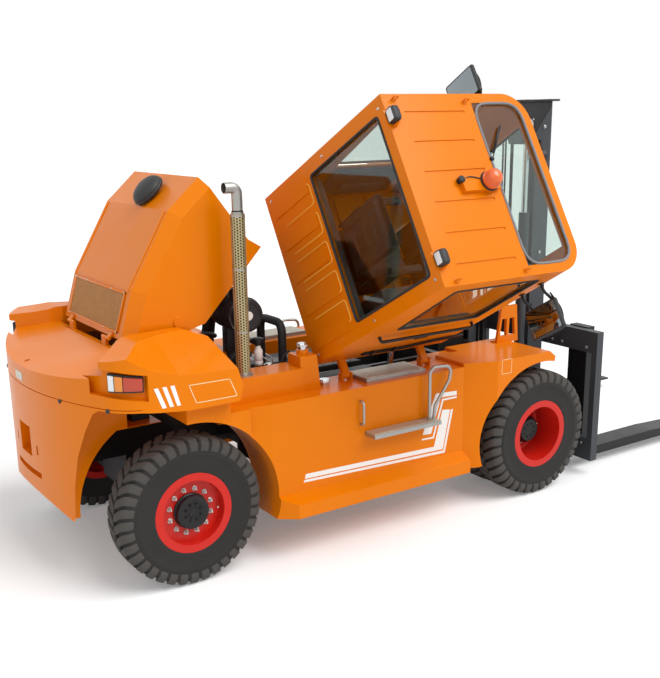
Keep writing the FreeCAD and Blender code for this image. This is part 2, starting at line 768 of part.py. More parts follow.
arch_left = pad("wheel_arch_left", "XZ", [
    ("-arch_rear", "500"), ("-arch_rear + 10", "820"), ("-arch_rear + 30", "1050"),
    ("-arch_rear + 65", "1250"), ("-arch_rear + 100", "seam_height - 46"),
    ("-arch_rear + 125", "seam_height - 14"),
    ("-400", "seam_height - 16"), ("-60", "ear_base"), ("ear_front + 60", "ear_base"),
    ("ear_front + 60", "500")],
    "kingpin_centre - 160", "body_half_width + 20")
inner_left = common(
    "steer_bay_left",
    rod("steer_bay_round", "y", ("0", "steer_bay_half", axle_line), "rear_arch_radius", "500"),
    box("steer_bay_ceiling", ("-1000", "1000"), ("steer_bay_half", "700"), ("0", "steer_bay_height")))
bay = box("engine_bay", ("-hood_hinge_back + 15", "ear_front + 20"),
          ("-hood_half_width - hood_running_gap", "hood_half_width + hood_running_gap"),
          ("steer_bay_height + 5", "2000"))
bay_low = box("engine_bay_low", ("-steer_bay_rear", "ear_front + 20"),
              ("-steer_bay_half - 5", "steer_bay_half + 5"),
              ("400", "steer_bay_height + 5"))
front_low = box("counterweight_front_low", ("-20", "ear_front + 20"),
                ("-body_half_width - 5", "body_half_width + 5"),
                ("400", "ear_base"))


def lamp_outline(name, grow, low, high):
    """The tapered outline shared by the lamp and its recess, larger by grow."""
    return pad(name, "XZ", [
        (f"-628 - {grow}", f"1548 - {grow} * 0.7"), (f"-372 + {grow}", f"1508 - {grow} * 0.7"),
        (f"-372 + {grow}", f"1662 + {grow} * 0.5"), (f"-628 - {grow}", f"1712 + {grow} * 0.5")], low, high)


# the lamp follows the round corner, sunk between two offsets of the casting's plan
lamp_band = ("1400", "1900")
lamp_recess = cut("lamp_recess",
                  lamp_outline("lamp_recess_outline", "20", "body_half_width / 2", "body_half_width + 10"),
                  casting_plan("lamp_recess_core", "lamp_depth", *lamp_band))
tow_pocket = box("tow_pocket", ("-counterweight_rear - 10", "-counterweight_rear + 130"),
                 ("-tow_width / 2", "tow_width / 2"), ("tow_base", "tow_base + tow_height"))
tow_bore = rod("tow_pin_bore", "z", ("-counterweight_rear + 70", "0", "tow_base - 80"), "tow_pin_radius",
               "deck_rear_height + 200 - tow_base")
low_slot = box("low_slot", ("-counterweight_rear - 10", "-counterweight_rear + 45"),
               ("-tow_width - 25", "tow_width + 25"), ("tow_base - 140", "tow_base - 95"))
side_slots = pair_along_y(
    "side_slot",
    lambda name, low, high: box(name, ("-counterweight_rear - 10", "-counterweight_rear + 50"), (low, high),
                                ("tow_base + 40", "tow_base + 110")),
    "tow_width / 2 + 95", "tow_width / 2 + 125")
seam = cut("seam_ring",
           box("seam_slab", ("-counterweight_rear - 20", "-400"),
               ("-body_half_width - 20", "body_half_width + 20"),
               ("seam_height", "seam_height + seam_width")),
           casting_plan("seam_core", "seam_depth", "seam_height - 20", "seam_height + 40"))
hinge_feet = pair_along_y(
    "casting_hinge_foot",
    lambda name, low, high: box(name, ("-hood_hinge_back - 12", "-hood_hinge_back + 12"), (low, high),
                                ("hood_hinge_height - 60", "hood_hinge_height")),
    "300", "380")
hollows = [shoulder_cut, mirrored("shoulder_slope_right", shoulder_cut),
           common("deck_pocket", deck_plan, deck_air),
           arch_left, mirrored("wheel_arch_right", arch_left), inner_left,
           mirrored("steer_bay_right", inner_left),
           bay, bay_low, front_low, tow_pocket, tow_bore, low_slot, *side_slots, seam,
           lamp_recess, mirrored("lamp_recess_right", lamp_recess)]
for index, hollow in enumerate(hollows):
    casting = cut(f"counterweight_cut_{index}", casting, hollow)
node("counterweight", TRUCK, fuse("counterweight_with_hinges", casting, *hinge_feet,
                                  *pair_along_y("casting_hinge", hinge_barrel, "300", "380")))

# ---------------------------------------------------------------- side tanks and fenders

CAB_HINGES = ("cab_rear + 200", "cab_rear + 1000")

tank_block = pad("tank_section", "YZ", [
    ("bay_half_width", "deck_height"), ("tank_half_width", "deck_height"),
    ("tank_half_width", "sill_height + sill_step + 60"), ("sill_half_width", "sill_height + sill_step"),
    ("sill_half_width", "sill_height"), ("bay_half_width", "sill_height")],
    "tank_rear", "tank_front")
tank_tail = box("tank_tail_block", ("tank_tail", "tank_rear + 60"), ("bay_half_width", "tank_half_width"),
                (axle_line, "deck_height"))
tail_top = box("tank_tail_top", ("tank_tail", "ear_front - 50"), ("bay_half_width", "tank_half_width"),
               ("deck_height - 5", "ear_base - seat_gap"))
rear_sweep = rod("tank_rear_arch", "y", ("0", "400", axle_line), "rear_arch_radius", "1000")
front_sweep = rod("tank_front_arch", "y", ("wheel_base", "400", axle_line), "front_arch_radius", "1000")
bevel = pad("tank_bevel", "XY", [
    ("tank_rear - 10", "tank_half_width - 40"), ("tank_rear - 10", "sill_half_width + 10"),
    ("tank_rear + 330", "sill_half_width + 10"), ("tank_rear + 170", "tank_half_width")],
    "sill_height - 10", "deck_height + 10")
shelf = box("tank_shelf", ("ear_front + seat_gap", "riser_rear + 15"),
            ("bay_half_width", "bay_half_width + shelf_width"),
            ("deck_height - 5", "deck_height + shelf_height"))
left_tank = cut("tank_left_body", fuse("tank_left_whole", tank_block, tank_tail, tail_top, shelf),
                rear_sweep, front_sweep, bevel)
node("left_tank", TRUCK, left_tank)
riser = pad("filler_riser", "XZ", [
    ("riser_rear", "deck_height - 5"), ("riser_rear + riser_width + 30", "deck_height - 5"),
    ("riser_rear + riser_width", "deck_height + riser_height"),
    ("riser_rear", "deck_height + riser_height")],
    "-cab_hinge_side - 80", "-cab_hinge_side + 100")
filler = rod("filler_neck", "z", ("riser_rear + riser_width / 2", "-cab_hinge_side + 10",
                                  "deck_height + riser_height - 5"), "48", "40")
lugs = []
for index, x in enumerate(CAB_HINGES):
    lugs += [box(f"hinge_lug_{index}_{edge}", (f"{x} + {low}", f"{x} + {high}"),
                 ("-cab_hinge_side - 30", "-cab_hinge_side + 30"),
                 ("deck_height - 10", "cab_hinge_height + 28"))
             for edge, (low, high) in enumerate((("(-20)", "(-6)"), ("66", "80")))]
    lugs.append(rod(f"hinge_pin_{index}", "x", (f"{x} - 20", "-cab_hinge_side", "cab_hinge_height"), "15",
                    "100"))
node("right_tank", TRUCK, fuse("tank_right_lugged", mirrored("tank_right_body", left_tank), riser, filler,
                               *lugs))

fender = pad("fender_side", "XZ", [
    ("tank_front + seat_gap", "sill_height"), ("tank_front + seat_gap", "fender_top"),
    ("fender_front - 70", "fender_top"), ("fender_front", "fender_top - 55"),
    ("wheel_base", axle_line), ("wheel_base - front_arch_radius", "sill_height")],
    "fender_inner", "body_half_width")
fender_slant = pad("fender_slant", "XY", [
    ("tank_front", "tank_half_width"), ("tank_front + fender_flare", "body_half_width"),
    ("tank_front + fender_flare", "body_half_width + 20"), ("tank_front", "body_half_width + 20")],
    "sill_height - 10", "fender_top + 10")
stand_low = "wheel_base - 75"
stand_high = "wheel_base - 40"
stand_plate = pad("stand_outline", "XZ", [
    (stand_low, "fender_top - 5"), (f"{stand_low} + 260", "fender_top - 5"),
    (f"{stand_high} + 200", "fender_top + stand_height"),
    (f"{stand_high} + 20", "fender_top + stand_height")],
    "stand_side", "stand_side + stand_plate")
stand_holes = [
    pad(f"stand_hole_{index}", "XZ", [
        (f"{stand_low} + {left}", "fender_top + 60"), (f"{stand_low} + {left} + 80", "fender_top + 60"),
        (f"{stand_low} + {left} + {lean} + 55", "fender_top + 215"),
        (f"{stand_low} + {left} + {lean}", "fender_top + 215")],
        "stand_side - 5", "stand_side + stand_plate + 5")
    for index, (left, lean) in enumerate((("35", "25"), ("142", "8")))]
stand_foot = box("stand_foot", (stand_low, f"{stand_low} + 260"),
                 ("stand_side - 50", "stand_side + stand_plate"),
                 ("fender_top - 5", "fender_top + 12"))
cab_relief = box("fender_cab_relief", ("tank_front - 5", "cab_front + fender_relief"),
                 ("fender_inner - 5", "cab_half_width + fender_relief"),
                 ("cab_floor_height - fender_relief", "fender_top + 10"))
left_fender = cut("fender_left_body", fender, fender_slant, cab_relief,
                  rod("fender_arch", "y", ("wheel_base", "400", axle_line), "front_arch_radius", "1000"))
left_fender = fuse("fender_left_whole", left_fender, cut("stand_cut", stand_plate, *stand_holes),
                   stand_foot)
node("left_fender", TRUCK, left_fender)
node("right_fender", TRUCK, mirrored("fender_right_body", left_fender))

# ---------------------------------------------------------------- steps and handrails

def boarding_set():
    """The steps, the looped handrail and the grab handle of the left side."""
    lower_top = "lower_step_height + step_plate"
    lower = box("lower_step", ("step_rear - 70", "step_front + 10"),
                ("tank_half_width", "body_half_width + 22"),
                ("lower_step_height", lower_top))
    upper = box("upper_step", ("step_rear", "step_front"), ("cab_half_width + 45", "tank_half_width - 65"),
                ("deck_height", "deck_height + step_plate"))
    outer = "tank_half_width + 60"
    handrail = bent_tube("handrail_loop", "tube_radius", "60", [
        ("step_front - 55", outer, f"{lower_top} - 8"), ("step_front - 55", outer, "deck_height + 75"),
        ("step_front + 175", outer, "deck_height + 55"), ("step_front + 150", outer, "deck_height - 60"),
        ("step_front + 5", outer, f"{lower_top} + 110"), ("step_front - 10", outer, f"{lower_top} - 8")])
    grab_side = "tank_half_width + 45"
    grab = bent_tube("grab_handle", "tube_radius - 3", "25", [
        ("step_rear - 110", "tank_half_width + seat_gap", "deck_height - 110"),
        ("step_rear - 110", grab_side, "deck_height - 110"),
        ("step_rear - 110", grab_side, "deck_height - 295"),
        ("step_rear - 110", "tank_half_width + seat_gap", "deck_height - 295")])
    return fuse("steps_left", lower, handrail), upper, grab


STEP_PIECES = boarding_set()
node("boarding_steps", TRUCK, *STEP_PIECES,
     *[mirrored(f"boarding_right_{index}", piece) for index, piece in enumerate(STEP_PIECES)])

# ---------------------------------------------------------------- engine bay

node("engine_block", TRUCK, box("engine_mass", ("rail_rear + 90", "2000"), ("-330", "330"),
                                ("engine_base", "engine_top")))
node("radiator", TRUCK, box("radiator_core", ("-200", "-60"), ("-500", "500"),
                            ("steer_bay_height + 5 + seat_gap", "1640")))
cleaner = rod("air_cleaner_can", "y", ("720", "-575", "engine_top + cleaner_rise"), "cleaner_radius", "400")
cleaner_foot = box("air_cleaner_foot", ("680", "800"), ("-310", "-230"),
                   ("engine_top + seat_gap", "engine_top + cleaner_rise - 10"))
cleaner_step = box("air_cleaner_step", ("680", "880"), ("-310", "-230"),
                   ("engine_top + seat_gap", "engine_top + 80"))
node("air_cleaner", TRUCK, fuse("air_cleaner_whole", cleaner, cleaner_foot, cleaner_step))
stack = rod("exhaust_guard", "z",
            ("exhaust_along", "-exhaust_side", "deck_height + shelf_height + seat_gap"),
            "exhaust_radius", "exhaust_top - 220 - deck_height - shelf_height")
tail_pipe = bent_tube("exhaust_tail", "exhaust_radius - 12", "95", [
    ("exhaust_along", "-exhaust_side", "exhaust_top - 260"),
    ("exhaust_along", "-exhaust_side", "exhaust_top - 75"),
    ("exhaust_along - 85", "-exhaust_side", "exhaust_top - 30")])
node("exhaust_stack", TRUCK, fuse("exhaust_whole", stack, tail_pipe))
lens_skin = cut("tail_lens_skin", casting_plan("tail_lens_face", "lamp_sunk", *lamp_band),
                casting_plan("tail_lens_core", "(lamp_depth - seat_gap)", *lamp_band))
lens = common("tail_lens", lamp_outline("tail_lens_outline", "0", "body_half_width / 2",
                                        "body_half_width"), lens_skin)
node("tail_lights", TRUCK, lens, mirrored("tail_lens_right", lens))

# ---------------------------------------------------------------- hood (drawn closed)

HEEL_ALONG = "-hood_hinge_back + 26"
HEEL_HEIGHT = "hood_hinge_height - 12"


def hood_form(name, inset, drop):
    """The hood's outer form, moved in by a wall on every side and lowered by drop at its open bottom."""
    side = pad(name + "_side", "XZ", [
        (f"{HEEL_ALONG} + {inset}", HEEL_HEIGHT),
        (f"hood_brow_along + {inset} * 0.4", f"hood_brow_height - {inset}"),
        ("hood_crest_along", f"hood_crest_height - {inset}"),
        (f"hood_nose_along - {inset}", f"hood_crest_height - hood_nose_drop - {inset}"),
        (f"hood_nose_along - 20 - {inset}", f"hood_crest_height - hood_nose_drop - 105 - {inset}"),
        (f"900 - {inset}", "1500"), (f"932 - {inset}", f"1375 - {drop}"), ("215", f"1355 - {drop}"),
        (f"-60 - {drop} * 0.5", f"1510 - {drop}")],
        f"-hood_half_width + {inset}", f"hood_half_width - {inset}")
    return bevelled(name, side, f"hood_bevel - {inset} * 0.4",
                    lambda edge: edge.BoundBox.ZMin > num("hood_hinge_height - 80")
                    and edge.BoundBox.XLength > 100)


hood_shell = cut("hood_hollow", hood_form("hood_outer", "0", "0"),
                 hood_form("hood_inner", "hood_wall", "90"))
hood_leaves = pair_along_y(
    "hood_leaf",
    lambda name, low, high: box(name, ("-hood_hinge_back", "-hood_hinge_back + 50"), (low, high),
                                ("hood_hinge_height - 8", "hood_hinge_height + 8")),
    "380.5", "430")
hood_bosses = pair_along_y(
    "hood_boss",
    lambda name, low, high: rod(name, "y", ("92", low, "1526"), "46", f"({high}) - ({low})"),
    "hood_half_width - 5", "hood_half_width + 12")
node("hood_shell", HOOD, fuse("hood_whole", hood_shell, *hood_leaves, *hood_bosses,
                              *pair_along_y("hood_hinge", hinge_barrel, "380.5", "430")))


def on_rear_face(run, lift):
    """A corner over the hood's sloping rear face: run up the slope from its heel, lift out of it."""
    going = f"(hood_brow_along - ({HEEL_ALONG}))"
    rise = f"(hood_brow_height - ({HEEL_HEIGHT}))"
    slope = f"sqrt({going} ^ 2 + {rise} ^ 2)"
    return (f"{HEEL_ALONG} + (({run}) * {going} - ({lift}) * {rise}) / {slope}",
            f"{HEEL_HEIGHT} + (({run}) * {rise} + ({lift}) * {going}) / {slope}")


grille_top = "seat_gap + grille_plate"
grille = pad("hood_grille_plate", "XZ", [
    on_rear_face("grille_from", "seat_gap"), on_rear_face("grille_to", "seat_gap"),
    on_rear_face("grille_to", grille_top), on_rear_face("grille_from", grille_top)],
    "-grille_half_width", "grille_half_width")
node("hood_grille", HOOD, grille)
# the cap stands on the highest point of the roof under its foot
INTAKE_SEAT = ("hood_crest_height + seat_gap"
               " - hood_nose_drop * (intake_along - intake_foot - hood_crest_along)"
               " / (hood_nose_along - hood_crest_along)")
node("intake_cap", HOOD, spun("intake_mushroom", [
    ("0", INTAKE_SEAT), ("intake_foot", INTAKE_SEAT), ("intake_foot", f"{INTAKE_SEAT} + 36"),
    ("intake_foot + 66", f"{INTAKE_SEAT} + 40"), ("intake_foot + 78", f"{INTAKE_SEAT} + 56"),
    ("intake_foot + 68", f"{INTAKE_SEAT} + 80"), ("intake_foot + 28", f"{INTAKE_SEAT} + 98"),
    ("0", f"{INTAKE_SEAT} + 106")], "intake_along", "-intake_side"))

# ---------------------------------------------------------------- cab (drawn upright)

FLOOR = "cab_floor_height"
ROOF = "cab_roof_height"
wall_low = "cab_floor_height + cab_wall"
wall_high = "cab_roof_height - cab_wall"


def rear_at(z, inset="0"):
    """Where the leaning rear wall stands at height z, moved in by inset."""
    return f"cab_rear + cab_lean * (({z}) - {FLOOR}) / ({ROOF} - {FLOOR}) + ({inset})"


def leaning(name, inset, depth, side, low, high):
    """A slab parallel to the rear wall, from inset to inset + depth, between two places along Y."""
    return pad(name, "XZ", [
        (rear_at(low, inset), low), (rear_at(low, f"{inset} + {depth}"), low),
        (rear_at(high, f"{inset} + {depth}"), high), (rear_at(high, inset), high)], *side)


def cab_form(name, inset, low, high):
    """The cab's outer form moved in by inset: leaning rear wall, round front corners."""
    slab = box(name + "_slab", (f"cab_rear + {inset} - 20", f"cab_front - {inset}"),
               (f"-cab_half_width + {inset}", f"cab_half_width - {inset}"), (low, high))
    plan = rounded(name + "_round", slab, f"cab_corner - {inset}",
                   lambda edge: straight(edge,
                                         Z_AXIS) and edge.Vertexes[0].Point.x > num("cab_front - 100"))
    side = pad(name + "_side", "XZ", [
        (rear_at(low, inset), low), ("cab_front + 10", low), ("cab_front + 10", high),
        (rear_at(high, inset), high)],
        "-cab_half_width - 10", "cab_half_width + 10")
    return common(name, plan, side)


def behind_post(name, low, high):
    """The zone of one side wall between the rear panel and the front frame."""
    return pad(name, "XZ", [
        (rear_at(wall_low, "cab_wall + 60"), wall_low), ("door_front + 40", wall_low),
        ("door_front + 40", wall_high), (rear_at(wall_high, "cab_wall + 60"), wall_high)], low, high)


floor = cab_form("cab_floor_slab", "0", FLOOR, wall_low)
arm = fuse("cab_hinge_arms", *[
    fuse(f"cab_hinge_arm_{index}",
         box(f"cab_arm_bar_{index}", (f"{x}", f"{x} + 60"), ("-cab_hinge_side", "-cab_half_width + 30"),
             ("cab_hinge_height - 15", "cab_hinge_height + 25")),
         rod(f"cab_arm_eye_{index}", "x", (f"{x}", "-cab_hinge_side", "cab_hinge_height"), "25", "60"))
    for index, x in enumerate(CAB_HINGES)])
eye_holes = [rod(f"cab_eye_hole_{index}", "x", (f"{x} - 5", "-cab_hinge_side", "cab_hinge_height"),
                 "15.05", "70")
             for index, x in enumerate(CAB_HINGES)]
cylinder_ears = [
    box(f"cab_floor_ear_{index}", (f"cab_cylinder_along + {low}", f"cab_cylinder_along + {high}"),
        ("-cab_cylinder_side - 36", "-cab_cylinder_side + 36"),
        ("cab_cylinder_eye - 36", "cab_floor_height + 5"))
    for index, (low, high) in enumerate((("28", "42"), ("(-42)", "(-28)")))]
# two long members and three cross members stiffen the floor from below
floor_ribs = [
    box(f"cab_floor_rib_{index}", (f"{x}", f"{x} + 50"), ("-cab_half_width + 60", "cab_half_width - 60"),
        (wall_low, f"{wall_low} + 22"))
    for index, x in enumerate(("cab_rear + 260", "cab_rear + 620", "cab_rear + 950"))]
node("cab_floor", CAB, cut("cab_floor_bored",
                           fuse("cab_floor_whole", floor, arm, *cylinder_ears, *floor_ribs),
                           *eye_holes))

roof = cab_form("cab_roof_slab", "0", wall_high, ROOF)


def roof_opening(name, inset, low, high):
    """The roof window's outline: square at the rear, following the round front corners."""
    slab = box(name + "_slab", (f"roof_window_rear + {inset}", f"cab_front - roof_window_inset - {inset}"),
               (f"-cab_half_width + roof_window_inset + {inset}",
                f"cab_half_width - roof_window_inset - {inset}"),
               (low, high))
    return rounded(name, slab, f"pane_corner - {inset}",
                   lambda edge: straight(edge,
                                         Z_AXIS) and edge.Vertexes[0].Point.x > num("cab_front - 200"))


roof_grooves = [
    box(f"roof_groove_{index}", ("roof_window_rear - 640", "roof_window_rear - 90"),
        (f"{y} - 9", f"{y} + 9"),
        (f"{ROOF} - swage_depth", f"{ROOF} + 10"))
    for index, y in enumerate(("-575", "-345", "-115", "115", "345", "575"))]
beacon_arm = box("beacon_arm", ("roof_window_rear - 370", "roof_window_rear - 40"), ("-60", "60"),
                 (f"{ROOF} - 5", f"{ROOF} + 40"))
node("cab_roof", CAB, cut("cab_roof_cut",
                          fuse("cab_roof_bracketed", cut("cab_roof_grooved", roof, *roof_grooves),
                                               beacon_arm),
                          roof_opening("roof_window_hole", "0", f"{ROOF} - 100", f"{ROOF} + 100")))

wall_tube = cut("cab_wall_tube", cab_form("cab_outside", "0", wall_low, wall_high),
                cab_form("cab_inside", "cab_wall", wall_low, wall_high))
whole_width = ("-cab_half_width - 10", "cab_half_width + 10")
window_side = ("-cab_window_half", "cab_window_half")
rear_zone = leaning("cab_rear_zone", "(-5)", "cab_wall + 65", whole_width, wall_low, wall_high)
rear_window = leaning("rear_window_hole", "(-30)", "cab_wall + 120", window_side, "cab_window_low",
                      "cab_window_high")
swages = [
    leaning(f"rear_swage_{index}", "-swage_depth", "swage_depth + 5", (f"{y} - 62", f"{y} + 62"),
            f"{wall_low} + 40", "cab_window_low - 70")
    for index, y in enumerate(("-560", "-280", "0", "280", "560"))]
node("cab_rear_panel", CAB, cut("cab_rear_cut",
                                fuse("cab_rear_swaged", common("cab_rear_wall", wall_tube, rear_zone),
                                                     *swages), rear_window))
front_slab = box("cab_front_zone", ("door_front + 40", "cab_front + 5"), whole_width, (wall_low, wall_high))
windscreen = box("windscreen_hole", ("cab_front - 100", "cab_front + 50"), ("-500", "500"),
                 (f"{FLOOR} + 235", f"{ROOF} - 100"))
node("cab_front_frame", CAB, cut("cab_front_cut", common("cab_front_wall", wall_tube, front_slab),
                                 windscreen))
door_low = "cab_floor_height + 60"
door_high = "cab_roof_height - 100"
door_hole = box("door_hole", ("door_rear", "door_front"), ("600", "800"), (door_low, door_high))
left_frame = cut("cab_left_cut",
                 common("cab_left_wall", wall_tube, behind_post("cab_left_zone", "0", "800")),
                 door_hole)
side_window = box("side_window_hole", ("door_rear + 60", "door_front - 40"), ("-800", "-600"),
                  (f"{FLOOR} + 675", f"{ROOF} - 130"))
node("cab_right_panel", CAB, cut("cab_right_cut", common("cab_right_wall", wall_tube,
                                                         behind_post("cab_right_zone", "-800", "0")),
                                                         side_window))

door_panel = box("door_panel", ("door_rear + door_gap", "door_front - door_gap"),
                 ("cab_half_width - 34", "cab_half_width + 2"),
                 (f"{door_low} + door_gap", f"{door_high} - door_gap"))


def door_hinges(name, lift, reach):
    """Three hinge knuckles on the door's rear edge, with the leaf that carries each."""
    made = []
    for index, z in enumerate((f"{door_low} + 180", f"{door_low} + 680", f"{door_high} - 260")):
        made.append(rod(f"{name}_knuckle_{index}", "z",
                        ("door_rear", "cab_half_width + 16", f"{z} + {lift}"), "11", "50"))
        made.append(box(f"{name}_leaf_{index}", reach, ("cab_half_width - 4", "cab_half_width + 14"),
                        (f"{z} + {lift}", f"{z} + {lift} + 50")))
    return made


door_panel = fuse("door_with_hinges", door_panel,
                  *door_hinges("door", "50.4", ("door_rear + 5", "door_rear + 50")))
pane_low = f"{FLOOR} + 575"
pane_high = f"{ROOF} - 170"
door_window = box("door_window_hole", ("door_rear + 70", "door_front - 70"), ("600", "800"),
                  (pane_low, pane_high))
node("left_door", CAB, cut("left_door_cut", door_panel, door_window))
node("cab_left_frame", CAB, fuse("cab_left_hinged", left_frame,
                                 *door_hinges("frame", "0", ("door_rear - 28", "door_rear - 2"))))

seat_top = f"{FLOOR} + 530"
node("seat_cushion", CAB, box("seat_cushion_pad", ("cab_rear + 310", "cab_rear + 790"), ("-250", "250"),
                              (f"{seat_top} - 120", seat_top)))
node("seat_back", CAB, box("seat_back_pad", ("cab_rear + 230", "cab_rear + 330"), ("-240", "240"),
                           (f"{seat_top} + seat_gap", f"{seat_top} + 560")))
seat_base = box("seat_base_box", ("cab_rear + 290", "cab_rear + 750"), ("-220", "220"),
                (f"{wall_low} + 22 + seat_gap", f"{seat_top} - 120 - seat_gap"))
console = box("console_box", ("cab_front - 330", "cab_front - 110"), ("-300", "300"),
              (f"{wall_low} + seat_gap", f"{FLOOR} + 555"))
column = rod("steering_column", "z", ("cab_front - 400", "0", f"{wall_low} + seat_gap"), "40", "680")
node("cab_interior", CAB, seat_base, console, column)

seat_in = "seat_gap"
node("cab_glass", CAB,
     leaning("rear_pane", "12", "glass", ("-cab_window_half + seat_gap", "cab_window_half - seat_gap"),
             "cab_window_low + seat_gap", "cab_window_high - seat_gap"),
     roof_opening("roof_pane", seat_in, f"{ROOF} - 12 - glass", f"{ROOF} - 12"),
     box("windscreen_pane", ("cab_front - 12 - glass", "cab_front - 12"),
         ("-500 + seat_gap", "500 - seat_gap"),
         (f"{FLOOR} + 235 + seat_gap", f"{ROOF} - 100 - seat_gap")),
     box("right_pane", ("door_rear + 60 + seat_gap", "door_front - 40 - seat_gap"),
         ("-cab_half_width + 12", "-cab_half_width + 12 + glass"),
         (f"{FLOOR} + 675 + seat_gap", f"{ROOF} - 130 - seat_gap")))
node("door_glass", CAB, box("door_pane", ("door_rear + 70 + seat_gap", "door_front - 70 - seat_gap"),
                            ("cab_half_width - 20", "cab_half_width - 20 + glass"),
                            (f"{pane_low} + seat_gap", f"{pane_high} - seat_gap")))

mirror_left = fuse(
    "mirror_left",
    box("mirror_head", ("cab_front - 222", "cab_front - 182"),
        ("cab_half_width + 130", "cab_half_width + 370"),
        (f"{ROOF} - 520", f"{ROOF} - 170")),
    *[bent_tube(f"mirror_arm_{index}", "12", "30", [
        ("cab_front - 240", "cab_half_width + seat_gap", z), ("cab_front - 240", "cab_half_width + 50", z),
        ("cab_front - 175", "cab_half_width + 110", z),
        ("cab_front - 175", "cab_half_width + 300", z)]) for index,
        z in enumerate((f"{ROOF} - 450", f"{ROOF} - 230"))])
node("mirrors", CAB, mirror_left, mirrored("mirror_right", mirror_left))
work_lamp = box("work_lamp", ("cab_rear + cab_lean - 25", "cab_rear + cab_lean + 60"), ("470", "590"),
                (f"{ROOF} + seat_gap", f"{ROOF} + 95"))
node("work_lights", CAB, work_lamp, mirrored("work_lamp_right", work_lamp))
beacon_foot = f"{ROOF} + 40"
node("beacon", CAB, spun("beacon_dome", [
    ("0", f"{beacon_foot} + seat_gap"), ("78", f"{beacon_foot} + seat_gap"), ("78", f"{beacon_foot} + 45"),
    ("68", f"{beacon_foot} + 85"), ("40", f"{beacon_foot} + 108"), ("0", f"{beacon_foot} + 114")],
    "roof_window_rear - 130", "0"))

# ---------------------------------------------------------------- cab tilt cylinder

eye_out = "cab_hinge_side - cab_cylinder_side"
eye_up = "cab_cylinder_eye - cab_hinge_height"
tilt = math.radians(num("cab_tilt_angle"))
raised_eye = FreeCAD.Vector(
    0,
    num("-cab_hinge_side") + num(eye_out) * math.cos(tilt) - num(eye_up) * math.sin(tilt),
    num("cab_hinge_height") + num(eye_out) * math.sin(tilt) + num(eye_up) * math.cos(tilt))
base_pin = vec("0", "-cab_cylinder_side", "cab_cylinder_base")
lean = raised_eye - base_pin
raised_length = lean.Length
CAB_CYLINDER = FreeCAD.Placement(
    OFFSET, FreeCAD.Rotation(X_AXIS, math.degrees(math.atan2(-lean.y, lean.z))), base_pin)
side = "-cab_cylinder_side"
along = "cab_cylinder_along"
tube = fuse("cab_cylinder_body",
            rod("cab_cylinder_tube", "z", (along, side, "cab_cylinder_base + 45"), "48",
                "cab_cylinder_tube_length - 45"),
            rod("cab_cylinder_neck", "z", (along, side, "cab_cylinder_base + 25"), "23", "30"),
            rod("cab_cylinder_eye_low", "x", (f"{along} - 25", side, "cab_cylinder_base"), "34", "50"))
node("cab_tilt_barrel", CAB_CYLINDER, cut(
    "cab_cylinder_bored", tube,
    rod("cab_cylinder_bore", "z", (along, side, "cab_cylinder_base + 70"), "32",
        "cab_cylinder_tube_length - 90"),
    rod("cab_cylinder_gland", "z", (along, side, "cab_cylinder_base + 60"), "25.3",
        "cab_cylinder_tube_length"),
    rod("cab_cylinder_pin_hole", "x", (f"{along} - 30", side, "cab_cylinder_base"), "18.05", "60")))
rod_length = "cab_cylinder_rod_length"
cab_rod = fuse("cab_rod_whole",
               rod("cab_rod_bar", "z",
                   (along, side, f"cab_cylinder_base + {raised_length} - {rod_length}"), "25", rod_length),
               rod("cab_rod_eye", "x", (f"{along} - 22", side, f"cab_cylinder_base + {raised_length}"),
                   "30", "44"))
node("cab_tilt_rod", CAB_CYLINDER, cab_rod)

# ---------------------------------------------------------------- mast tilt cylinders

tilt_base = vec("tilt_base_ahead", "0", "tilt_base_height")
tilt_eye = vec("mast_back - 110", "0", "tilt_eye_height")
tilt_lean = tilt_eye - tilt_base
TILT_CYLINDER = FreeCAD.Placement(
    OFFSET, FreeCAD.Rotation(Y_AXIS, math.degrees(math.atan2(-tilt_lean.z, tilt_lean.x))), tilt_base)
tilt_line = ("tilt_side", "tilt_base_height")
tilt_tube = fuse("tilt_tube_whole",
                 rod("tilt_tube", "x", ("tilt_base_ahead + 45", *tilt_line), "50", "tilt_tube_length - 45"),
                 rod("tilt_tube_neck", "x", ("tilt_base_ahead + 30", *tilt_line), "24", "20"),
                 rod("tilt_tube_eye", "y", ("tilt_base_ahead", "tilt_side - 25", "tilt_base_height"), "40",
                     "50"))
tilt_barrel = cut("tilt_tube_bored", tilt_tube,
                  rod("tilt_tube_bore", "x", ("tilt_base_ahead + 70", *tilt_line), "34",
                      "tilt_tube_length - 90"),
                  rod("tilt_gland", "x", ("tilt_base_ahead + 70", *tilt_line), "27.3", "tilt_tube_length"),
                  rod("tilt_pin_hole", "y", ("tilt_base_ahead", "tilt_side - 30", "tilt_base_height"),
                      "27.05", "60"))
node("tilt_barrels", TILT_CYLINDER, tilt_barrel, mirrored("tilt_barrel_right", tilt_barrel))
tilt_bar = fuse("tilt_rod_whole",
                rod("tilt_rod_bar", "x",
                    (f"tilt_base_ahead + {tilt_lean.Length} - tilt_rod_length", *tilt_line), "27",
                    "tilt_rod_length"),
                rod("tilt_rod_eye", "y",
                    (f"tilt_base_ahead + {tilt_lean.Length}", "tilt_side - 22", "tilt_base_height"),
                    "36", "44"))
node("tilt_rods", TILT_CYLINDER, tilt_bar, mirrored("tilt_rod_right", tilt_bar))

# ---------------------------------------------------------------- mast

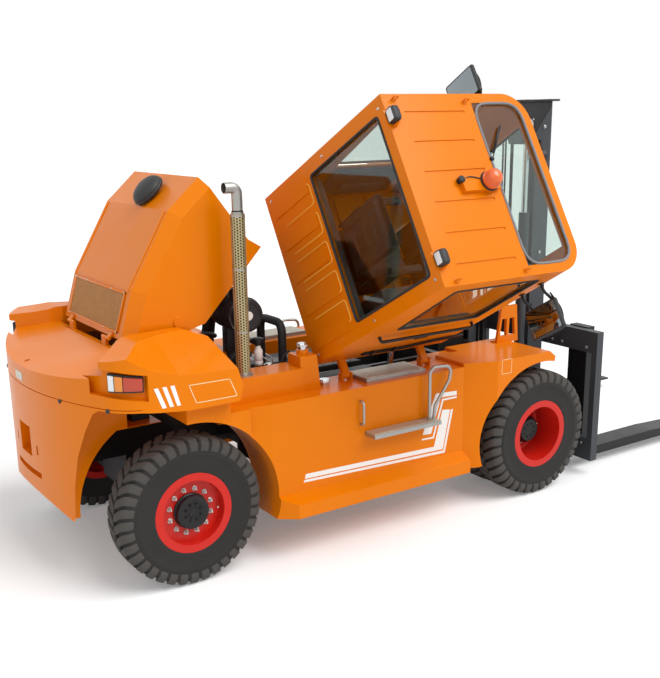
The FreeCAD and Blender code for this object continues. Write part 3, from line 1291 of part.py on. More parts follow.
rail_x = ("mast_back", "mast_back + mast_depth")
outer_rail = cut("outer_rail_channel",
                 box("outer_rail_bar", rail_x, ("mast_half_width - 120", "mast_half_width"),
                     ("260", "mast_height")),
                 box("outer_rail_groove", ("mast_back + mast_web", "mast_back + mast_depth - mast_web"),
                     ("mast_half_width - 130", "mast_half_width - mast_web"), ("200", "mast_height + 50")))
ties = [box(f"outer_tie_{index}", ("mast_back - 60", "mast_back"),
            ("-mast_half_width + 100", "mast_half_width - 100"),
            (low, f"{low} + {tall}"))
        for index, (low, tall) in enumerate((("260", "160"), ("tilt_eye_height - 70", "140"),
                                             ("mast_height - 180", "160")))]
tilt_ears = [box(f"tilt_ear_{index}", ("mast_back - 155", "mast_back - 55"),
                 (f"tilt_side + {low}", f"tilt_side + {high}"),
                 ("tilt_eye_height - 45", "tilt_eye_height + 45")) for index,
                 (low, high) in enumerate((("28", "42"), ("(-42)", "(-28)")))]
lift_foot = box("lift_foot", ("mast_back - 120", "mast_back"),
                ("mast_half_width - 95", "mast_half_width - 5"), ("740", "780"))
wear_pad = box("outer_wear_pad", ("mast_back + 60", "mast_back + 130"),
               ("mast_half_width - mast_web - running_gap + seat_gap", "mast_half_width - mast_web + 5"),
               ("mast_height - 130", "mast_height - 30"))
pivot_ear = pad("mast_pivot_ear", "XZ", [
    ("mast_back + 20", "mast_pivot_height + 220"), ("mast_back + 20", "300"), ("mast_back - 60", "300"),
    ("wheel_base + mast_pivot_ahead - 60", "mast_pivot_height - 50"),
    ("wheel_base + mast_pivot_ahead - 60", "mast_pivot_height + 50"),
    ("mast_back - 20", "mast_pivot_height + 220")],
    "rail_outer + running_gap", "rail_outer + running_gap + 50")
ear_hole = rod("mast_ear_hole", "y", ("wheel_base + mast_pivot_ahead", "rail_outer", "mast_pivot_height"),
               "30.05", "80")
ear = cut("mast_ear_bored", pivot_ear, ear_hole)
lift_spot = ("mast_back - 60 - 12", "lift_side")
lift_tube = cut("lift_tube", rod("lift_tube_bar", "z", (*lift_spot, "775"), "lift_radius", "1645"),
                rod("lift_tube_bore", "z", (*lift_spot, "800"), "lift_radius - 14", "1600"),
                rod("lift_tube_gland", "z", (*lift_spot, "800"), "28.3", "1700"))
outer_parts = fuse("outer_mast_left", outer_rail, ear, *tilt_ears, lift_foot, wear_pad, lift_tube)
node("outer_mast", TRUCK, fuse("outer_mast_whole", outer_parts, mirrored("outer_mast_right", outer_parts),
                               *ties))

inner_out = "mast_half_width - mast_web - running_gap"
inner_rail = cut("inner_rail_channel",
                 box("inner_rail_bar",
                     ("mast_back + mast_web + running_gap",
                      "mast_back + mast_depth - mast_web - running_gap"),
                     (f"{inner_out} - 100", inner_out), ("280", "mast_height + 20")),
                 box("inner_rail_groove",
                     ("mast_back + mast_web + running_gap + 20",
                      "mast_back + mast_depth - mast_web - running_gap - 20"),
                     (f"{inner_out} - 110", f"{inner_out} - 25"), ("200", "mast_height + 80")))
inner_tie = box("inner_tie", ("mast_back + mast_web + running_gap",
                              "mast_back + mast_depth - mast_web - running_gap"),
                (f"-({inner_out}) + 50", f"{inner_out} - 50"), ("mast_height - 160", "mast_height + 20"))
inner_low = box("inner_low_tie",
                ("mast_back + mast_web + running_gap", "mast_back + mast_web + running_gap + 20"),
                (f"-({inner_out}) + 10", f"{inner_out} - 10"), ("300", "420"))
crosshead = box("crosshead", ("mast_back - 120", "mast_back + mast_depth - mast_web - running_gap"),
                ("-mast_half_width", "mast_half_width"),
                ("mast_height + running_gap", "mast_height + 45"))
node("inner_mast", TRUCK, fuse("inner_mast_whole", inner_rail, mirrored("inner_rail_mirror", inner_rail),
                               inner_tie, inner_low,
                               crosshead))
lift_rod = rod("lift_rod", "z", (*lift_spot, "820"), "28", "mast_height + running_gap - 820")
node("lift_rods", TRUCK, lift_rod, mirrored("lift_rod_right", lift_rod))

carriage_x = ("mast_back + mast_depth + 40", "mast_back + mast_depth + 40 + carriage_plate")
bars = [box(f"carriage_bar_{index}", carriage_x, ("-carriage_half_width", "carriage_half_width"),
            (low, high))
        for index, (low, high) in enumerate((("carriage_top - 200", "carriage_top"),
                                             ("carriage_base", "carriage_base + 200")))]
uprights = [box(f"carriage_upright_{index}", carriage_x, (low, high), ("carriage_base", "carriage_top"))
            for index, (low, high) in enumerate((("300", "420"), ("-420", "-300"),
                                                 ("carriage_half_width - 60", "carriage_half_width"),
                                                 ("-carriage_half_width", "-carriage_half_width + 60")))]
roller_y = f"{inner_out} - 30"
roller_x = "mast_back + mast_depth / 2"
hangers = []
for index, z in enumerate(("carriage_base + 120", "carriage_top - 120")):
    hangers += [
        rod(f"roller_{index}", "y", (roller_x, f"{inner_out} - 75", z),
            "mast_depth / 2 - mast_web - running_gap - 20 - seat_gap", "46"),
        rod(f"roller_pin_{index}", "y", (roller_x, f"{inner_out} - 150", z), "20", "90")]
hangers.append(box("roller_plate", ("mast_back + 76", "mast_back + mast_depth + 45"),
                   (f"{inner_out} - 160", f"{inner_out} - 130"),
                   ("carriage_base + 60", "carriage_top - 60")))
hanger = fuse("carriage_hanger", *hangers)
node("carriage", TRUCK, fuse("carriage_whole", *bars, *uprights, hanger,
                             mirrored("carriage_hanger_right", hanger)))

fork_x = "mast_back + mast_depth + 40 + carriage_plate"
fork = pad("fork_profile", "XZ", [
    (f"{fork_x} + seat_gap", "fork_clearance + 10"), (f"{fork_x} + 60", "fork_clearance"),
    (f"{fork_x} + fork_thickness + fork_length", "fork_clearance"),
    (f"{fork_x} + fork_thickness + fork_length", "fork_clearance + 18"),
    (f"{fork_x} + fork_thickness + fork_length * 0.4", "fork_clearance + fork_thickness"),
    (f"{fork_x} + fork_thickness", "fork_clearance + fork_thickness"),
    (f"{fork_x} + fork_thickness", "carriage_top + 10"),
    (f"{fork_x} + seat_gap", "carriage_top + 10")],
    "fork_centre - fork_width / 2", "fork_centre + fork_width / 2")
node("forks", TRUCK, fork, mirrored("fork_right", fork))

# ---------------------------------------------------------------- check and write

doc.recompute()
faults = [f"{item.Label}: {item.State}" for item in doc.Objects
          if "Invalid" in item.State or "Error" in item.State]
for item in NODES:
    if item.Shape.isNull() or not item.Shape.isValid() or not item.Shape.Solids:
        faults.append(f"{item.Label}: no valid solid")
if faults:
    raise RuntimeError("; ".join(faults))
os.makedirs("parts", exist_ok=True)
for item in NODES:
    item.Shape.exportStep(f"parts/{item.Label}.step")
print(f"{len(NODES)} nodes written")
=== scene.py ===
"""Looks of a heavy diesel forklift with a side-tilting cab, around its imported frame.

Everything is in metres. Truck coordinates have X forward, Y to the driver's left, Z up and
their origin on the ground under the steering axle. The cab is described upright and the
hood closed; a Station then tips them to their resting place.
"""
import json
import logging
import math
from dataclasses import dataclass, field
from enum import Enum
from functools import lru_cache
from typing import Callable, ClassVar, Iterable, Optional, Sequence

import bmesh
import bpy
from mathutils import Matrix, Vector


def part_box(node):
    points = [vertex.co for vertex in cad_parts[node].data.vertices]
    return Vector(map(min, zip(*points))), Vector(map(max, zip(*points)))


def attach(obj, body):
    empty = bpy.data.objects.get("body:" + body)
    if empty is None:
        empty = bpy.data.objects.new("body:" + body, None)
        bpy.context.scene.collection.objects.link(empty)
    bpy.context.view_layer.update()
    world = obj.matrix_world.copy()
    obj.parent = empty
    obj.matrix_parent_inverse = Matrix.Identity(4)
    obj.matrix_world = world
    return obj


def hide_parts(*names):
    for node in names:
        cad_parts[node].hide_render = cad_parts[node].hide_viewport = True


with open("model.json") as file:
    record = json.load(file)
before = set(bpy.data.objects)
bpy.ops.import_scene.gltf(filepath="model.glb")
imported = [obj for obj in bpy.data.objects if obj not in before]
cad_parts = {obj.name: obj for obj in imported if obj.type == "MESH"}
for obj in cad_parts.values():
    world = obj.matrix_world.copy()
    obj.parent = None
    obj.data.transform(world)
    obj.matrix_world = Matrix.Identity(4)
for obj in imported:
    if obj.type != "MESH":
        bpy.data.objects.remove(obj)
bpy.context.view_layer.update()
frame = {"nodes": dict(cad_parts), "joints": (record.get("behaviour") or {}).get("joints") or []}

log = logging.getLogger("forklift")
Point = tuple[float, float, float]
Flat = tuple[float, float]
Route = Sequence[Sequence[float]]
Piece = bpy.types.Object
UP, LEFT, AHEAD, BACK = (0, 0, 1), (0, 1, 0), (1, 0, 0), (-1, 0, 0)
SIDES = (-1, 1)


# ---------------------------------------------------------------- places on the truck

def truck_origin() -> Vector:
    """The ground point under the steering axle, from the two rear tyres.

    Returns:
        The point, on the floor.
    """
    low_left, high_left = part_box("rear_left_tyre")
    low_right, high_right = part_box("rear_right_tyre")
    middle = (low_left + high_left + low_right + high_right) / 4
    return Vector((middle.x, middle.y, 0.0))


def moved(x: float = 0.0, y: float = 0.0, z: float = 0.0) -> Matrix:
    """The move by that much."""
    return Matrix.Translation((x, y, z))


def mirrored(side: int) -> Matrix:
    """Nothing for the driver's left, 1, and the mirror image across the truck for -1."""
    return Matrix.Diagonal((1, side, 1, 1))


class Station(Enum):
    """How a piece is drawn: the hinge that tips it to its resting place, if any."""

    TRUCK = ""
    CAB = "cab_tilt"
    HOOD = "hood_hinge"

    def matrix(self) -> Matrix:
        """The move from drawn truck coordinates to the row frame.

        Returns:
            The move.
        """
        if self is Station.TRUCK:
            return Matrix.Translation(truck_origin())
        row = next(row for row in frame["joints"] if row["name"] == self.value)
        pivot = Matrix.Translation(Vector(row["pos_m"]))
        spin = Matrix.Rotation(-math.radians(row["range_deg"][1]), 4, Vector(row["axis"]))
        return pivot @ spin @ pivot.inverted() @ Matrix.Translation(truck_origin())


# ---------------------------------------------------------------- finishes

COAT_ROUGHNESS = 0.12
GLASS_IOR = 1.45
PATCH_DETAIL, GRAIN_DETAIL = 4.0, 2.0


def linear(code: str) -> tuple[float, float, float, float]:
    """A colour's linear value.

    Args:
        code: the sRGB hex code, such as "#dd7404".
    Returns:
        Linear red, green, blue and an alpha of one.
    """
    parts = [int(code[i:i + 2], 16) / 255 for i in (1, 3, 5)]
    shades = [c / 12.92 if c <= 0.04045 else ((c + 0.055) / 1.055) ** 2.4 for c in parts]
    return (*shades, 1.0)


def add_node(tree: bpy.types.NodeTree, kind: str, settings: Optional[dict] = None,
        links: Optional[dict] = None) -> bpy.types.Node:
    """Adds a node with its settings and its incoming links.

    Args:
        tree: the node tree.
        kind: the node's type name.
        settings: a value for each attribute or input socket, by name or number.
        links: an output socket for each input socket, by name or number.
    Returns:
        The new node.
    """
    node = tree.nodes.new(kind)
    for key, value in (settings or {}).items():
        if isinstance(key, str) and hasattr(node, key):
            setattr(node, key, value)
        else:
            node.inputs[key].default_value = value
    for key, output in (links or {}).items():
        tree.links.new(output, node.inputs[key])
    return node


@dataclass(frozen=True)
class Finish:
    """A surface: two close shades in soft patches, uneven gloss and a fine relief."""

    name: str
    colour: str
    second_colour: str
    slot: str = "black_paint"
    roughness: float = 0.5
    roughness_spread: float = 0.08
    metallic: float = 0.0
    coat: float = 0.0
    shine: float = 0.5
    shine_colour: str = "#ffffff"
    clearness: float = 0.0
    patch_mm: float = 400.0
    grain_mm: float = 2.0
    relief_mm: float = 0.05

    def make(self) -> bpy.types.Material:
        """The material, on Object coordinates.

        Returns:
            The new material.
        """
        material = bpy.data.materials.new(self.name)
        material.use_nodes = True
        tree = material.node_tree
        shader = tree.nodes["Principled BSDF"]
        even = {"Metallic": self.metallic, "Coat Weight": self.coat, "Coat Roughness": COAT_ROUGHNESS,
            "Specular IOR Level": self.shine, "Specular Tint": linear(self.shine_colour)}
        if self.clearness:
            even.update({"Transmission Weight": self.clearness, "IOR": GLASS_IOR})
        for socket, value in even.items():
            shader.inputs[socket].default_value = value
        place = add_node(tree, "ShaderNodeTexCoord").outputs["Object"]
        patches, grain = (add_node(tree, "ShaderNodeTexNoise", {"Scale": 1000 / size, "Detail": detail},
            {"Vector": place}).outputs["Fac"] for size, detail in ((self.patch_mm, PATCH_DETAIL),
            (self.grain_mm, GRAIN_DETAIL)))
        shades = {"data_type": "RGBA", 6: linear(self.colour), 7: linear(self.second_colour)}
        colour = add_node(tree, "ShaderNodeMix", shades, {0: patches})
        gloss = add_node(tree, "ShaderNodeMapRange", {"From Min": 0.3, "From Max": 0.7,
            "To Min": self.roughness - self.roughness_spread, "To Max": self.roughness
            + self.roughness_spread}, {"Value": patches})
        bump = add_node(tree, "ShaderNodeBump", {"Distance": self.relief_mm / 1000, "Strength": 1.0},
            {"Height": grain})
        tree.links.new(colour.outputs[2], shader.inputs["Base Color"])
        tree.links.new(gloss.outputs["Result"], shader.inputs["Roughness"])
        tree.links.new(bump.outputs["Normal"], shader.inputs["Normal"])
        return material


@dataclass(frozen=True)
class Enamel(Finish):
    """Sprayed gloss enamel on steel: a clear skin over a strong colour, with a faint orange peel."""

    roughness: float = 0.38
    coat: float = 0.22
    shine: float = 0.25
    grain_mm: float = 5.0
    relief_mm: float = 0.06


@dataclass(frozen=True)
class Lens(Finish):
    """Moulded acrylic: a smooth bright skin over a flat colour."""

    roughness: float = 0.2
    roughness_spread: float = 0.05
    coat: float = 0.6


FINISHES: dict[str, Finish] = {
    # The truck's livery: warm gloss with an orange sheen. The pressed beads get a paler orange, a painted
    # highlight where their edges catch the light.
    "orange": Enamel("orange_gloss_enamel", "#df7500", "#e37c02", "orange_paint", shine_colour="#ff9a30"),
    "highlight_orange": Enamel("orange_enamel_with_painted_highlight", "#f0ac3c", "#f3b850"),
    # Wheel discs, stripes and outlines: flat strong colours with a soft highlight.
    "red": Enamel("red_gloss_enamel", "#c41a10", "#cc2214", "red_paint"),
    "white": Enamel("white_enamel", "#f2f1ee", "#eceae6", "orange_paint", coat=0.2),
    "cream": Enamel("cream_enamel", "#f0dcae", "#ecd6a4", "orange_paint", coat=0.1),
    # Mast and chassis paint: half-matt greys that show the edges only.
    "dark": Enamel("dark_grey_satin_enamel", "#3a3d41", "#424549", "dark_paint", roughness=0.45, coat=0.1),
    "black": Enamel("black_satin_enamel", "#161616", "#1c1c1d", roughness=0.45, coat=0.15),
    # Castings: dull and slightly rough from the sand mould.
    "iron": Finish("painted_cast_iron", "#26272a", "#313236", "cast_iron", roughness=0.6, grain_mm=3,
                   relief_mm=0.25),
    # Bare metals, from rolled and satin to plated and polished: the brighter, the sharper they reflect.
    "steel": Finish("mill_finish_steel", "#9d9c98", "#b5b3ae", "steel", roughness=0.38, metallic=0.9,
                    patch_mm=90, grain_mm=1.5, relief_mm=0.03),
    "aluminium": Finish("chequered_aluminium", "#c3bdb0", "#d3cec2", roughness=0.4, metallic=0.8, patch_mm=70,
                        relief_mm=0.03),
    "bright": Finish("zinc_plated_steel", "#b9b9b6", "#cfcfcb", "steel", roughness=0.28, metallic=1.0,
                     patch_mm=60, relief_mm=0.01),
    "chrome": Finish("hard_chromed_steel", "#d9dadb", "#cfd0d2", "chrome_rod", roughness=0.12,
                     roughness_spread=0.04, metallic=1.0, relief_mm=0.005),
    "mirror": Finish("silvered_mirror", "#8f979b", "#889094", roughness=0.04, roughness_spread=0.01,
                     metallic=1.0, relief_mm=0.001),
    "brass": Finish("yellow_passivated_steel", "#a99a6d", "#c2b48c", "steel", roughness=0.4, metallic=0.7,
                    patch_mm=80, relief_mm=0.02),
    "oiled_steel": Finish("oiled_chain_steel", "#3b3a38", "#4b4946", roughness=0.35, metallic=0.8,
                          patch_mm=60, relief_mm=0.03),
    # Radiator mesh and fins: a dusty straw paint; the pipe inside the guard is matt with soot.
    "straw_wire": Finish("straw_painted_wire", "#c98f4c", "#e3b273", roughness=0.5, patch_mm=120,
                         relief_mm=0.02),
    "straw": Finish("straw_painted_fins", "#94642c", "#b98347", roughness=0.6, patch_mm=120, relief_mm=0.1),
    "soot": Finish("sooty_pipe_steel", "#141210", "#1d1a17", roughness=0.8, grain_mm=3),
    # Rubber: near black and matt; greyer and duller where it scrubs the ground; smooth where extruded.
    "rubber": Finish("carbon_black_tyre_rubber", "#161514", "#211f1d", "tyre_rubber", roughness=0.78,
                     grain_mm=3, relief_mm=0.15),
    "worn_rubber": Finish("scuffed_tread_rubber", "#3d3a37", "#4b4844", "tyre_rubber", roughness=0.85,
                          grain_mm=4, relief_mm=0.2),
    "seal": Finish("extruded_black_rubber", "#141414", "#1b1b1b", "tyre_rubber", roughness=0.62, grain_mm=2),
    "grey_seal": Finish("extruded_grey_rubber", "#77777a", "#85858a", roughness=0.6, grain_mm=2),
    # Cab plastics and the seat: soft highlights over a fine moulded or embossed grain.
    "plastic": Finish("moulded_black_plastic", "#17181a", "#1f2022", "black_plastic", roughness=0.55,
                      grain_mm=1.2, relief_mm=0.06),
    "grey_plastic": Finish("moulded_grey_plastic", "#55585c", "#5d6064", roughness=0.6, grain_mm=1.2,
                           relief_mm=0.08),
    "vinyl": Finish("embossed_black_vinyl", "#1c1c1e", "#242427", "vinyl", roughness=0.6, grain_mm=2.5,
                    relief_mm=0.2),
    # Float glass: clear, smooth and slightly green.
    "glass": Finish("tinted_float_glass", "#eaf4f0", "#e6f1ec", "glass", roughness=0.01,
                    roughness_spread=0.005, clearness=1.0, relief_mm=0.0),
    # Lamp lenses: glossy and deep in colour.
    "clear_lens": Lens("clear_acrylic_lens", "#e9ebec", "#dfe2e3", "glass", roughness=0.15),
    "amber_lens": Lens("amber_acrylic_lens", "#e0801a", "#e88c24", "amber_plastic"),
    "red_lens": Lens("red_acrylic_lens", "#b0300f", "#bb3a14", "amber_plastic"),
    "amber": Lens("orange_acrylic_lens", "#e0560f", "#e86a18", "amber_plastic", coat=0.5),
}

NODE_FINISHES = {
    "rubber": ("front_left_tyres", "front_right_tyres", "rear_left_tyre", "rear_right_tyre"),
    "red": ("front_left_rims", "front_right_rims", "rear_left_rim", "rear_right_rim"),
    "iron": ("steer_axle", "left_knuckle", "right_knuckle", "drive_axle", "engine_block"),
    "dark": ("outer_mast", "inner_mast", "carriage", "tilt_barrels"),
    "black": ("forks", "radiator", "chassis_frame", "cab_tilt_barrel", "work_lights"),
    "plastic": ("air_cleaner", "cab_interior", "mirrors", "intake_cap"),
    "steel": ("exhaust_stack", "hood_grille", "boarding_steps"),
    "chrome": ("cab_tilt_rod", "tilt_rods", "lift_rods"),
    "glass": ("cab_glass", "door_glass"),
    "vinyl": ("seat_cushion", "seat_back"),
    "amber": ("beacon", "tail_lights"),
}


@lru_cache(maxsize=None)
def material_of(finish: str) -> bpy.types.Material:
    """The material of a finish, made on first use."""
    return FINISHES[finish].make()


def dress_frame() -> None:
    """Gives every node of the frame its finish; what is not listed is orange."""
    chosen = {node: finish for finish, nodes in NODE_FINISHES.items() for node in nodes}
    for name, node in frame["nodes"].items():
        node.data.materials.clear()
        node.data.materials.append(material_of(chosen.get(name, "orange")))


# ---------------------------------------------------------------- the bench

class Ends(Enum):
    """What becomes of the two ends of a turned piece."""

    SOLID = "filled"
    RING = "joined to each other"
    OPEN = "left open"


class Bench:
    """Modelling with operators. Every helper returns one object, in drawn truck coordinates."""

    @staticmethod
    def clear() -> None:
        """Deselects everything, in object mode."""
        if bpy.context.mode != "OBJECT":
            bpy.ops.object.mode_set(mode="OBJECT")
        bpy.ops.object.select_all(action="DESELECT")

    @classmethod
    def take(cls, piece: Piece) -> Piece:
        """Makes a piece the only selected and active one.

        Args:
            piece: the piece.
        Returns:
            The same piece.
        """
        cls.clear()
        piece.select_set(True)
        bpy.context.view_layer.objects.active = piece
        return piece

    @classmethod
    def linked(cls, name: str, data: bpy.types.ID) -> Piece:
        """A new object of that data in the scene, selected and active.

        Args:
            name: the object's name.
            data: its mesh, curve, light or camera.
        Returns:
            The new object.
        """
        piece = bpy.data.objects.new(name, data)
        bpy.context.scene.collection.objects.link(piece)
        return cls.take(piece)

    @classmethod
    def settle(cls, piece: Piece) -> Piece:
        """Applies the piece's place and its modifiers.

        Args:
            piece: the piece.
        Returns:
            The same piece.
        """
        cls.take(piece)
        bpy.ops.object.transform_apply(location=True, rotation=True, scale=True)
        for name in [modifier.name for modifier in piece.modifiers]:
            bpy.ops.object.modifier_apply(modifier=name)
        return piece

    @classmethod
    def outward(cls, piece: Piece, merge: float = 0.0) -> Piece:
        """Turns the faces outwards.

        Args:
            piece: the piece.
            merge: vertices closer than this are merged first.
        Returns:
            The same piece.
        """
        cls.take(piece)
        bpy.ops.object.mode_set(mode="EDIT")
        bpy.ops.mesh.select_all(action="SELECT")
        if merge:
            bpy.ops.mesh.remove_doubles(threshold=merge)
        bpy.ops.mesh.select_all(action="SELECT")
        bpy.ops.mesh.normals_make_consistent(inside=False)
        bpy.ops.object.mode_set(mode="OBJECT")
        return piece

    @classmethod
    def extruded(cls, piece: Piece, *steps: Sequence[float]) -> Piece:
        """Extrudes all of a flat piece, step after step.

        Args:
            piece: the flat piece.
            steps: the way and length of each step.
        Returns:
            The same piece, as a body.
        """
        cls.take(piece)
        bpy.ops.object.mode_set(mode="EDIT")
        bpy.ops.mesh.select_all(action="SELECT")
        for step in steps:
            bpy.ops.mesh.extrude_region_move(TRANSFORM_OT_translate={"value": tuple(step)})
        bpy.ops.object.mode_set(mode="OBJECT")
        return piece

    @classmethod
    def walled(cls, piece: Piece, thickness: float) -> Piece:
        """Gives an open shell its wall."""
        piece.modifiers.new("wall", "SOLIDIFY").thickness = thickness
        return cls.settle(piece)

    @classmethod
    def bevelled(cls, piece: Piece, width: float, segments: int = 2, limit: float = 35.0) -> Piece:
        """Rounds the sharp edges.

        Args:
            piece: the piece.
            width: the bevel's width.
            segments: its steps.
            limit: the angle in degrees above which an edge is rounded.
        Returns:
            The piece.
        """
        cut = piece.modifiers.new("edges", "BEVEL")
        cut.width = width
        cut.segments = segments
        cut.angle_limit = math.radians(limit)
        return cls.settle(piece)

    @classmethod
    def block(cls, low: Sequence[float], high: Sequence[float], edge: float = 0.004,
            segments: int = 2) -> Piece:
        """A block with rounded edges.

        Args:
            low: its lowest corner.
            high: its highest corner.
            edge: the rounding.
            segments: the rounding's steps.
        Returns:
            The block.
        """
        cls.clear()
        low, high = Vector(low), Vector(high)
        bpy.ops.mesh.primitive_cube_add(size=1, location=(low + high) / 2)
        piece = bpy.context.object
        piece.scale = high - low
        cls.settle(piece)
        return cls.bevelled(piece, edge, segments)

    @classmethod
    def lathe(cls, rings: Route, base: Sequence[float] = (0, 0, 0), sides: int = 40,
            along: Sequence[float] = UP, ends: Ends = Ends.SOLID) -> Piece:
        """A turned piece, extruded and resized ring by ring.

        Args:
            rings: (radius, height) of each ring; a last radius of zero gives a pointed end.
            base: where height zero is.
            sides: how many sides a ring has.
            along: the direction in which height grows.
            ends: what becomes of its ends.
        Returns:
            The turned piece.
        """
        cls.clear()
        rings = [tuple(ring) for ring in rings]
        solid = ends is Ends.SOLID
        if ends is Ends.RING:
            rings.append(rings[0])
        elif solid and rings[-1][0]:
            rings.append((0, rings[-1][1]))
        radius, height = rings[0]
        bpy.ops.mesh.primitive_circle_add(vertices=sides, radius=radius, location=(0, 0, height),
            fill_type="TRIFAN" if solid else "NOTHING")
        piece = bpy.context.object
        bpy.ops.object.transform_apply(location=True)
        bpy.ops.object.mode_set(mode="EDIT")
        if solid:
            cls.pick(piece, lambda v: v.co.xy.length > radius / 2)
        for ahead, above in rings[1:]:
            scale = ahead / radius if ahead else 1e-3
            bpy.ops.mesh.extrude_region_move(TRANSFORM_OT_translate={"value": (0, 0, above - height)})
            bpy.ops.transform.resize(value=(scale, scale, 1), center_override=(0, 0, above))
            if not ahead:
                bpy.ops.mesh.merge(type="CENTER")
                break
            radius, height = ahead, above
        cls.outward(piece, 1e-6)
        turn = Vector(along).normalized().to_track_quat("Z", "Y").to_matrix().to_4x4()
        piece.data.transform(Matrix.Translation(Vector(base)) @ turn)
        return piece

    @staticmethod
    def pick(piece: Piece, wanted: Callable[[bmesh.types.BMVert], bool]) -> None:
        """Selects the vertices that the test wants, in edit mode.

        Args:
            piece: the piece.
            wanted: the test for a vertex.
        """
        bpy.ops.mesh.select_all(action="DESELECT")
        mesh = bmesh.from_edit_mesh(piece.data)
        for vertex in mesh.verts:
            if wanted(vertex):
                vertex.select_set(True)
        mesh.select_flush(True)
        bmesh.update_edit_mesh(piece.data)

    @classmethod
    def flat(cls, points: Route, faces: Iterable[Sequence[int]]) -> Piece:
        """A flat piece from its corners and faces.

        Args:
            points: the corners.
            faces: the numbers of each face's corners.
        Returns:
            The flat piece.
        """
        mesh = bpy.data.meshes.new("plate")
        mesh.from_pydata([tuple(p) for p in points], [], list(faces))
        return cls.linked("plate", mesh)

    @classmethod
    def sheet(cls, outline: Route, thickness: Sequence[float], edge: float = 0.0) -> Piece:
        """A plate cut to an outline and extruded.

        Args:
            outline: its corners, in order.
            thickness: the way and the amount that it is extruded.
            edge: the rounding of its edges.
        Returns:
            The plate.
        """
        piece = cls.outward(cls.extruded(cls.flat(outline, [range(len(outline))]), thickness))
        return cls.bevelled(piece, edge) if edge else piece

    @classmethod
    def slab(cls, columns: int, rows: int) -> Piece:
        """A gridded block from (-0.5, -0.5, -1) to (0.5, 0.5, 0), to be warped into shape.

        Args:
            columns: its cells along X.
            rows: its cells along Y.
        Returns:
            The block.
        """
        cls.clear()
        bpy.ops.mesh.primitive_grid_add(x_subdivisions=columns, y_subdivisions=rows, size=1)
        return cls.extruded(bpy.context.object, (0, 0, -1))

    @staticmethod
    def bent(points: Route, bend: float, steps: int = 5, closed: bool = False) -> list[Vector]:
        """A route whose corners are rounded by arcs.

        Args:
            points: the corners.
            bend: how far from a corner its arc starts, at most half of a run.
            steps: the arc's steps.
            closed: whether the route joins its start.
        Returns:
            The points of the rounded route.
        """
        corners = [Vector(p) for p in points]
        count = len(corners)
        out = [] if closed else [corners[0]]
        for i in range(count) if closed else range(1, count - 1):
            corner = corners[i]
            back, ahead = corners[i - 1] - corner, corners[(i + 1) % count] - corner
            reach = min(bend, back.length * 0.49, ahead.length * 0.49)
            first, last = corner + back.normalized() * reach, corner + ahead.normalized() * reach
            for step in range(steps + 1):
                t = step / steps
                out.append(first.lerp(corner, t).lerp(corner.lerp(last, t), t))
        return out if closed else out + [corners[-1]]

    @classmethod
    def tube(cls, points: Route, radius: float, bend: float = 0.03, sides: int = 10,
            closed: bool = False) -> Piece:
        """A round bar or pipe along a route.

        Args:
            points: the route's corners.
            radius: the bar's radius.
            bend: the rounding at the corners.
            sides: how many sides its section has.
            closed: whether it joins its start.
        Returns:
            The bar, as a mesh.
        """
        route = cls.bent(points, bend, closed=closed) if len(points) > 2 else [Vector(p) for p in points]
        curve = bpy.data.curves.new("bar", "CURVE")
        curve.dimensions = "3D"
        curve.bevel_depth = radius
        curve.bevel_resolution = max(0, sides // 4 - 1)
        curve.use_fill_caps = not closed
        spline = curve.splines.new("POLY")
        spline.points.add(len(route) - 1)
        for point, place in zip(spline.points, route):
            point.co = (*place, 1)
        spline.use_cyclic_u = closed
        cls.linked("bar", curve)
        bpy.ops.object.convert(target="MESH")
        return bpy.context.object

    @classmethod
    def joined(cls, pieces: Iterable[Piece]) -> Piece:
        """Several objects as one.

        Args:
            pieces: the objects.
        Returns:
            The one object.
        """
        pieces = list(pieces)
        cls.take(pieces[0])
        for piece in pieces[1:]:
            piece.select_set(True)
        if len(pieces) > 1:
            bpy.ops.object.join()
        return bpy.context.object

    @classmethod
    def copies(cls, piece: Piece, moves: Iterable[Matrix]) -> Piece:
        """One piece repeated by each move, each copy with its own mesh, and joined.

        Args:
            piece: the pattern, which is used up.
            moves: where each copy goes.
        Returns:
            All the copies as one object.
        """
        made = []
        for move in moves:
            copy = piece.copy()
            copy.data = piece.data.copy()
            bpy.context.scene.collection.objects.link(copy)
            copy.data.transform(move)
            if move.determinant() < 0:
                copy.data.flip_normals()
            made.append(copy)
        bpy.data.objects.remove(piece)
        return cls.joined(made)

    @classmethod
    def row(cls, piece: Piece, count: int, step: Sequence[float]) -> Piece:
        """The piece repeated count times, a step apart."""
        return cls.copies(piece, [moved(*(part * i for part in step)) for i in range(count)])

    @classmethod
    def wreath(cls, piece: Piece, count: int, axis: str, place: Matrix, off: Matrix = Matrix(),
            start: float = 0.5) -> Piece:
        """The piece repeated round an axis.

        Args:
            piece: what is repeated.
            count: how many there are.
            axis: "Y" or "Z".
            place: the move to the circle's centre.
            off: the move out from the axis.
            start: where the first one stands, in steps.
        Returns:
            The copies as one object.
        """
        turns = [Matrix.Rotation(2 * math.pi * (i + start) / count, 4, axis) for i in range(count)]
        return cls.copies(piece, [place @ turn @ off for turn in turns])

    @staticmethod
    def warp(piece: Piece, place: Callable[[Vector], Vector]) -> Piece:
        """Moves every vertex.

        Args:
            piece: the piece.
            place: gives each vertex its new place.
        Returns:
            The same piece.
        """
        for vertex in piece.data.vertices:
            vertex.co = place(vertex.co)
        return piece


block, lathe, sheet, tube, joined = Bench.block, Bench.lathe, Bench.sheet, Bench.tube, Bench.joined
FILM_PROUD, FILM_SUNK = 0.0007, 0.001


def film(outline: Sequence[Flat], side: float) -> Piece:
    """A film on a flat side: its corners are x and z, and the side is the face that it is on."""
    return sheet([(x, side - FILM_SUNK, z) for x, z in outline], (0, FILM_PROUD + FILM_SUNK, 0))


